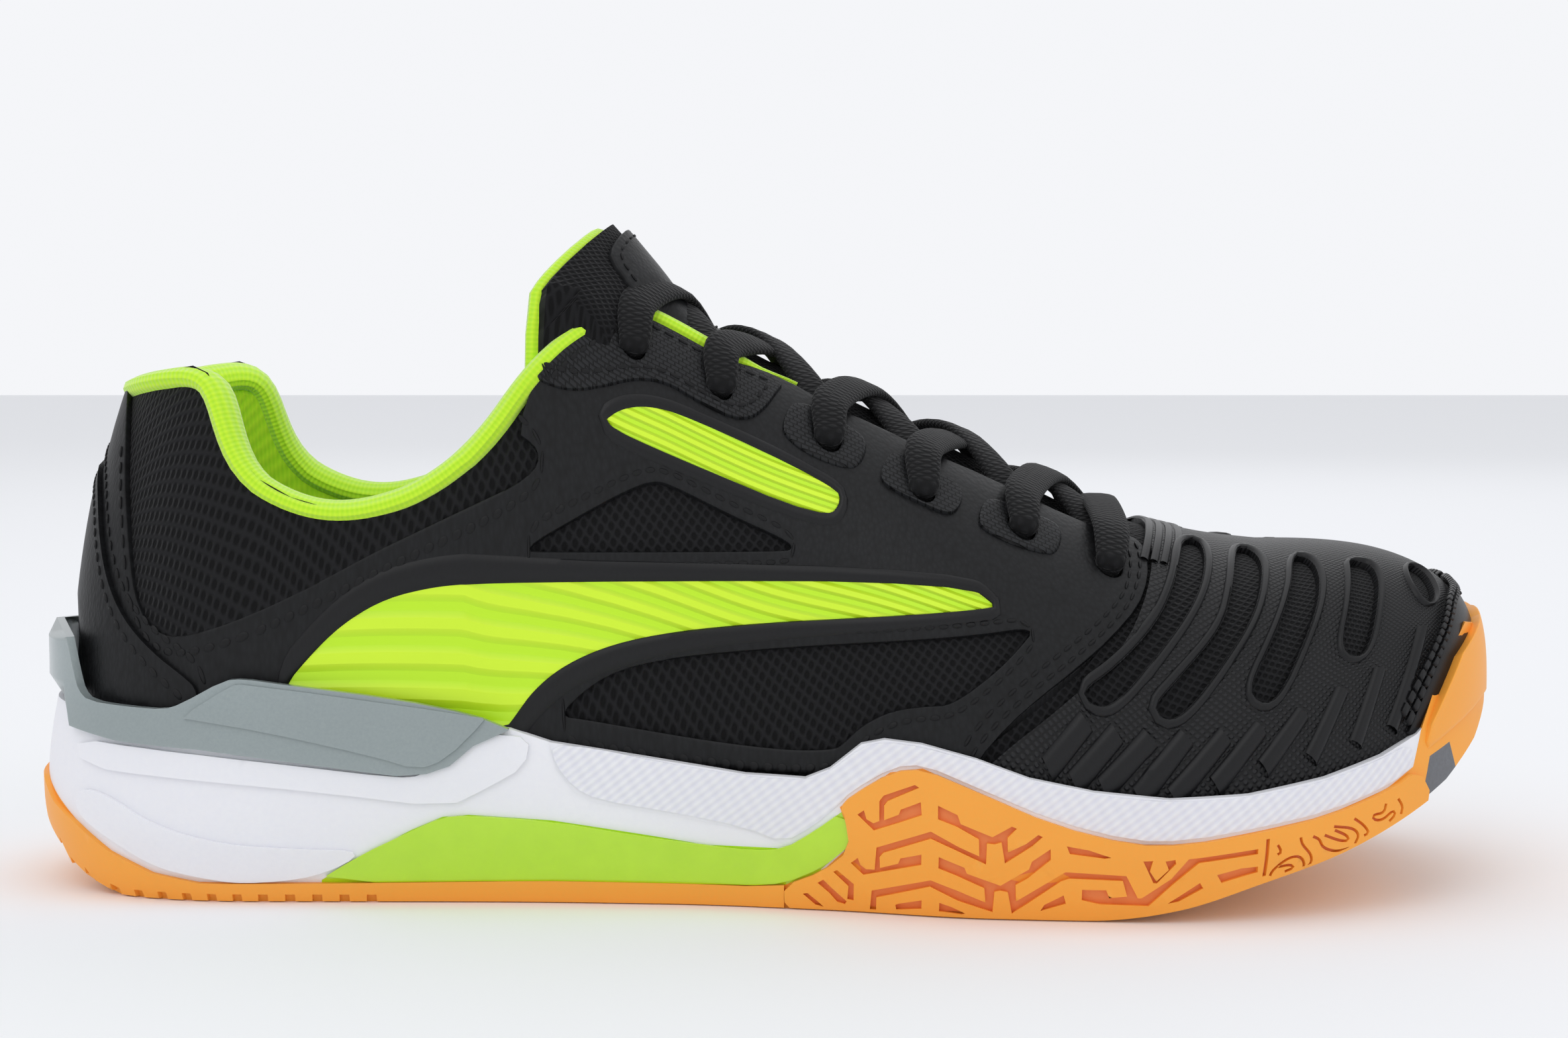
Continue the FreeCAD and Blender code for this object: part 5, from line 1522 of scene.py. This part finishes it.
@dataclass
class Bottom:
    """The heel cage, the shank, the foam's skins and the rubber on the sole's side."""

    cage: float = 1.6
    rubber: float = 1.35

    def heel_cage(self) -> None:
        """The pearly cage round the heel, as one piece over both sides, with its raised facets."""
        low = [WALL.flat(x, z) for x, z in spaced(CAGE_LOW, 1.5, False)]
        top = [WALL.flat(x, z) for x, z in spaced(rounded(CAGE_TOP, 1, False), 1.5, False)]
        outline = [(0.0, 40.0)] + low + top + [(0.0, 52.0)]
        outline += [WALL.mirrored(p) for p in reversed(outline[1:-1])]
        bm = cut_piece(outline, None, self.cage, 2.2, 0.4)
        WALL.lay(bm, 0.05)
        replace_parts(piece("cage", bm, PEARL, 25), "heel_cage")
        self.skins("cage_facets", CAGE_FACET, PEARL, 0.9, 1.3, 0.35)

    def skins(self, name: str, outline: list[Flat], finish: Finish, thick: float, low: float, edge: float,
              times: int = 1) -> None:
        """Lay a panel on the outer side and the same on the inner side.

        Args:
            name: the piece's name.
            outline: the panel's corners at x and z.
            finish: what it is made of.
            thick: its thickness.
            low: growth of its underside.
            edge: width of its broken edge.
            times: how often its corners are rounded.
        """
        parts = []
        for side in (LATERAL, MEDIAL):
            bm = cut_piece(drawn(outline, side, times, WALL), None, thick, 2.0, edge)
            WALL.lay(bm, low)
            parts.append(bm)
        piece(name, join(*parts), finish, 25)

    def wrap_holes(self, top: list[Flat]) -> list[list[Flat]]:
        """The grooves and contour lines that fit under a wrap's top line."""
        made = []
        for groove in GROOVES + [slit(line, 0.55) for line in CONTOURS]:
            kept = [(x, max(z, tread(x) + 0.9)) for x, z in groove]
            if all(z < smooth(top, x) - 0.5 for x, z in kept):
                made.append(kept)
        return made

    def wrap(self, name: str, side: int, top: list[Flat]) -> None:
        """The rubber that climbs one side of the forefoot, moulded with grooves down to a deeper floor.

        Args:
            name: the piece's name.
            side: which side it is on.
            top: its top line at x and z.
        """
        foot = [(x, tread(x) + 0.3) for x in range(126, 0, -4)]
        outline = spaced(rounded(top + foot, 1), 1.5)
        ceiling = sorted({x: z for x, z in sorted(top)}.items())
        holes = self.wrap_holes(ceiling)
        bm = cut_piece(on_side(WALL, outline, side), [on_side(WALL, spaced(h, 1.2), side) for h in holes],
                       self.rubber, 2.2, 0.22)
        WALL.lay(bm, -0.1)
        piece(name, bm, GUM)
        floor = cut_piece(inset(even(on_side(WALL, outline, side), 1.2), 1.0), None, 0.15, 2.6, 0.0)
        WALL.lay(floor, 0.15)
        # The groove floor takes a darker copy of the rubber's colour as painted shade.
        piece(name + "_floor", floor, GUM_FLOOR_SHADE)

    def bumper(self) -> None:
        """The rubber bumper that climbs the front of the toe."""
        inner = [LAST.flat(x, z) for x, z in spaced(list(reversed(BUMPER_TOP)), 1.2, False)]
        foot = [(LAST.walk(x), 0.0) for x in (124, 128, 132, 136, 139, 141.5)]
        tip = TOE_FOLD - 0.5
        chain = [LAST.centre(140.6)] + inner + foot + [(tip, 0.0)]
        chain += [(tip, CREST)]
        outline = chain + [LAST.mirrored(p) for p in reversed(chain[1:-1])]
        bm = cut_piece(spaced(outline, 1.6), None, 2.9, 2.2, 0.6)
        LAST.lay(bm, 1.0)
        piece("toe_bumper", bm, GUM, 25)

    def band(self) -> None:
        """The thin rubber band round the heel and along the arch, toothed along its foot."""
        foot, x = [], 1.9
        while x > -147.0:
            if x > -72:
                step, notch, rise = 4.0, 0.0, 0.0
            else:
                step, notch, rise = 5.3, 2.0, 1.7
            low = tread(x) + 0.25
            if notch and x > -140:
                foot += [(x, low), (x - step + notch, tread(x - step + notch) + 0.25),
                         (x - step + notch, tread(x) + rise), (x - step + 0.1, tread(x - step) + rise)]
            else:
                foot.append((x, low))
            x -= step
        side = [WALL.flat(px, min(pz, smooth(BAND_TOP, px) - 0.6)) for px, pz in foot]
        top = [WALL.flat(px, pz) for px, pz in spaced(BAND_TOP[1:], 1.5, False)]
        outline = [(0.0, 22.4)] + top + side + [(0.0, 19.5)]
        whole = outline + [WALL.mirrored(p) for p in reversed(outline[1:-1])]
        bm = cut_piece(spaced(whole, 1.6), None, 1.2, 2.0, 0.25)
        WALL.lay(bm, -0.1)
        piece("heel_band", bm, GUM)

    def build(self) -> None:
        """Make the bottom unit."""
        self.heel_cage()
        self.skins("shank_wings", SHANK, LIME, 1.5, -0.8, 0.35)
        self.skins("heel_ledge", HEEL_LEDGE, FOAM, 1.1, -0.25, 0.4)
        self.skins("heel_swell", HEEL_SWELL, FOAM, 1.1, -0.25, 0.4, 2)
        self.skins("front_skin", FRONT_SKIN, FOAM_HATCHED, 0.6, -0.25, 0.3)
        self.wrap("outer_forefoot_wrap", LATERAL, WRAP_TOP)
        self.wrap("inner_forefoot_wrap", MEDIAL, INNER_WRAP)
        self.band()
        self.bumper()


# ------------------------------------------------------------------ what stays as it was built
STAYING = {
    "outsole": GUM, "heel_inlay": GREY_RUBBER, "toe_inlay": GREY_RUBBER, "midsole_rear": FOAM,
    "midsole_front": FOAM, "shank": LIME, "strobel_board": BOARD, "sockliner": SOCK, "heel_counter": COUNTER,
    "toe_puff": COUNTER, "vamp_lining": DARK_KNIT,
    "outer_aglet": SHEATH, "inner_aglet": SHEATH,
}


def dress(node: str, finish: Finish) -> None:
    """Give a piece that stays as it was built its finish."""
    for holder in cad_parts[node].material_slots:
        holder.material = finish.material()
    LOG.info("%s: dressed as %s", node, finish.name)


# ------------------------------------------------------------------ studio
@dataclass
class Studio:
    """A pale sweep, soft lights and the camera."""

    eye: tuple[float, float, float] = (0.0019, -0.530, 0.115)
    aim: tuple[float, float, float] = (0.0019, 0.0, 0.0723)
    lens: float = 59.4

    def camera(self) -> None:
        """Stand the camera beside the shoe."""
        data = bpy.data.cameras.new("camera")
        data.sensor_width, data.lens = 36.0, self.lens
        data.clip_start = 0.01
        made = new_object("camera", data)
        made.location = self.eye
        made.rotation_euler = (Vector(self.aim) - Vector(self.eye)).to_track_quat("-Z", "Y").to_euler()
        bpy.context.scene.camera = made

    def floor(self) -> None:
        """A pale floor."""
        bm = bmesh.new()
        bmesh.ops.create_grid(bm, x_segments=8, y_segments=8, size=3.0)
        mesh = bpy.data.meshes.new("floor")
        bm.to_mesh(mesh)
        bm.free()
        made = new_object("floor", mesh)
        paint = bpy.data.materials.new("studio_paper")
        paint.use_nodes = True
        shader = paint.node_tree.nodes["Principled BSDF"]
        shader.inputs["Base Color"].default_value = linear("F6F7F9")
        shader.inputs["Roughness"].default_value = 0.9
        mesh.materials.append(paint)

    def lights(self) -> None:
        """Large soft lights all round and a bright even sky."""
        for name, place, size, power in (("key", (-0.5, -0.9, 1.1), 0.9, 2.6),
                                         ("fill", (0.9, -0.8, 0.7), 1.0, 1.0),
                                         ("top", (0.0, 0.2, 1.3), 1.2, 2.0),
                                         ("rim", (0.2, 1.1, 0.8), 1.0, 1.0)):
            data = bpy.data.lights.new(name, "AREA")
            data.size, data.energy = size, power
            made = new_object(name, data)
            made.location = place
            made.rotation_euler = (Vector((0, 0, 0.06)) - Vector(place)).to_track_quat("-Z", "Y").to_euler()
        world = bpy.data.worlds.new("studio_air")
        world.use_nodes = True
        back = world.node_tree.nodes["Background"]
        back.inputs["Color"].default_value = linear("F7F8FB")
        seen = add_node(world.node_tree, "LightPath")
        strength = add_node(world.node_tree, "Math", {"operation": "MULTIPLY_ADD", 1: 0.14, 2: 0.84},
                            {0: seen.outputs["Is Camera Ray"]})
        world.node_tree.links.new(strength.outputs[0], back.inputs["Strength"])
        bpy.context.scene.world = world
        bpy.context.scene.view_settings.view_transform = "Standard"

    def build(self) -> None:
        """Set up the studio."""
        self.camera()
        self.floor()
        self.lights()


def main() -> None:
    """Build the shoe piece by piece, then the studio round it."""
    Studio().build()
    for node, finish in STAYING.items():
        dress(node, finish)
    Upper().build()
    ToeBox().build()
    Collar().build()
    Tongue().build()
    Lacing().build()
    Bottom().build()


if __name__ == "__main__":
    main()
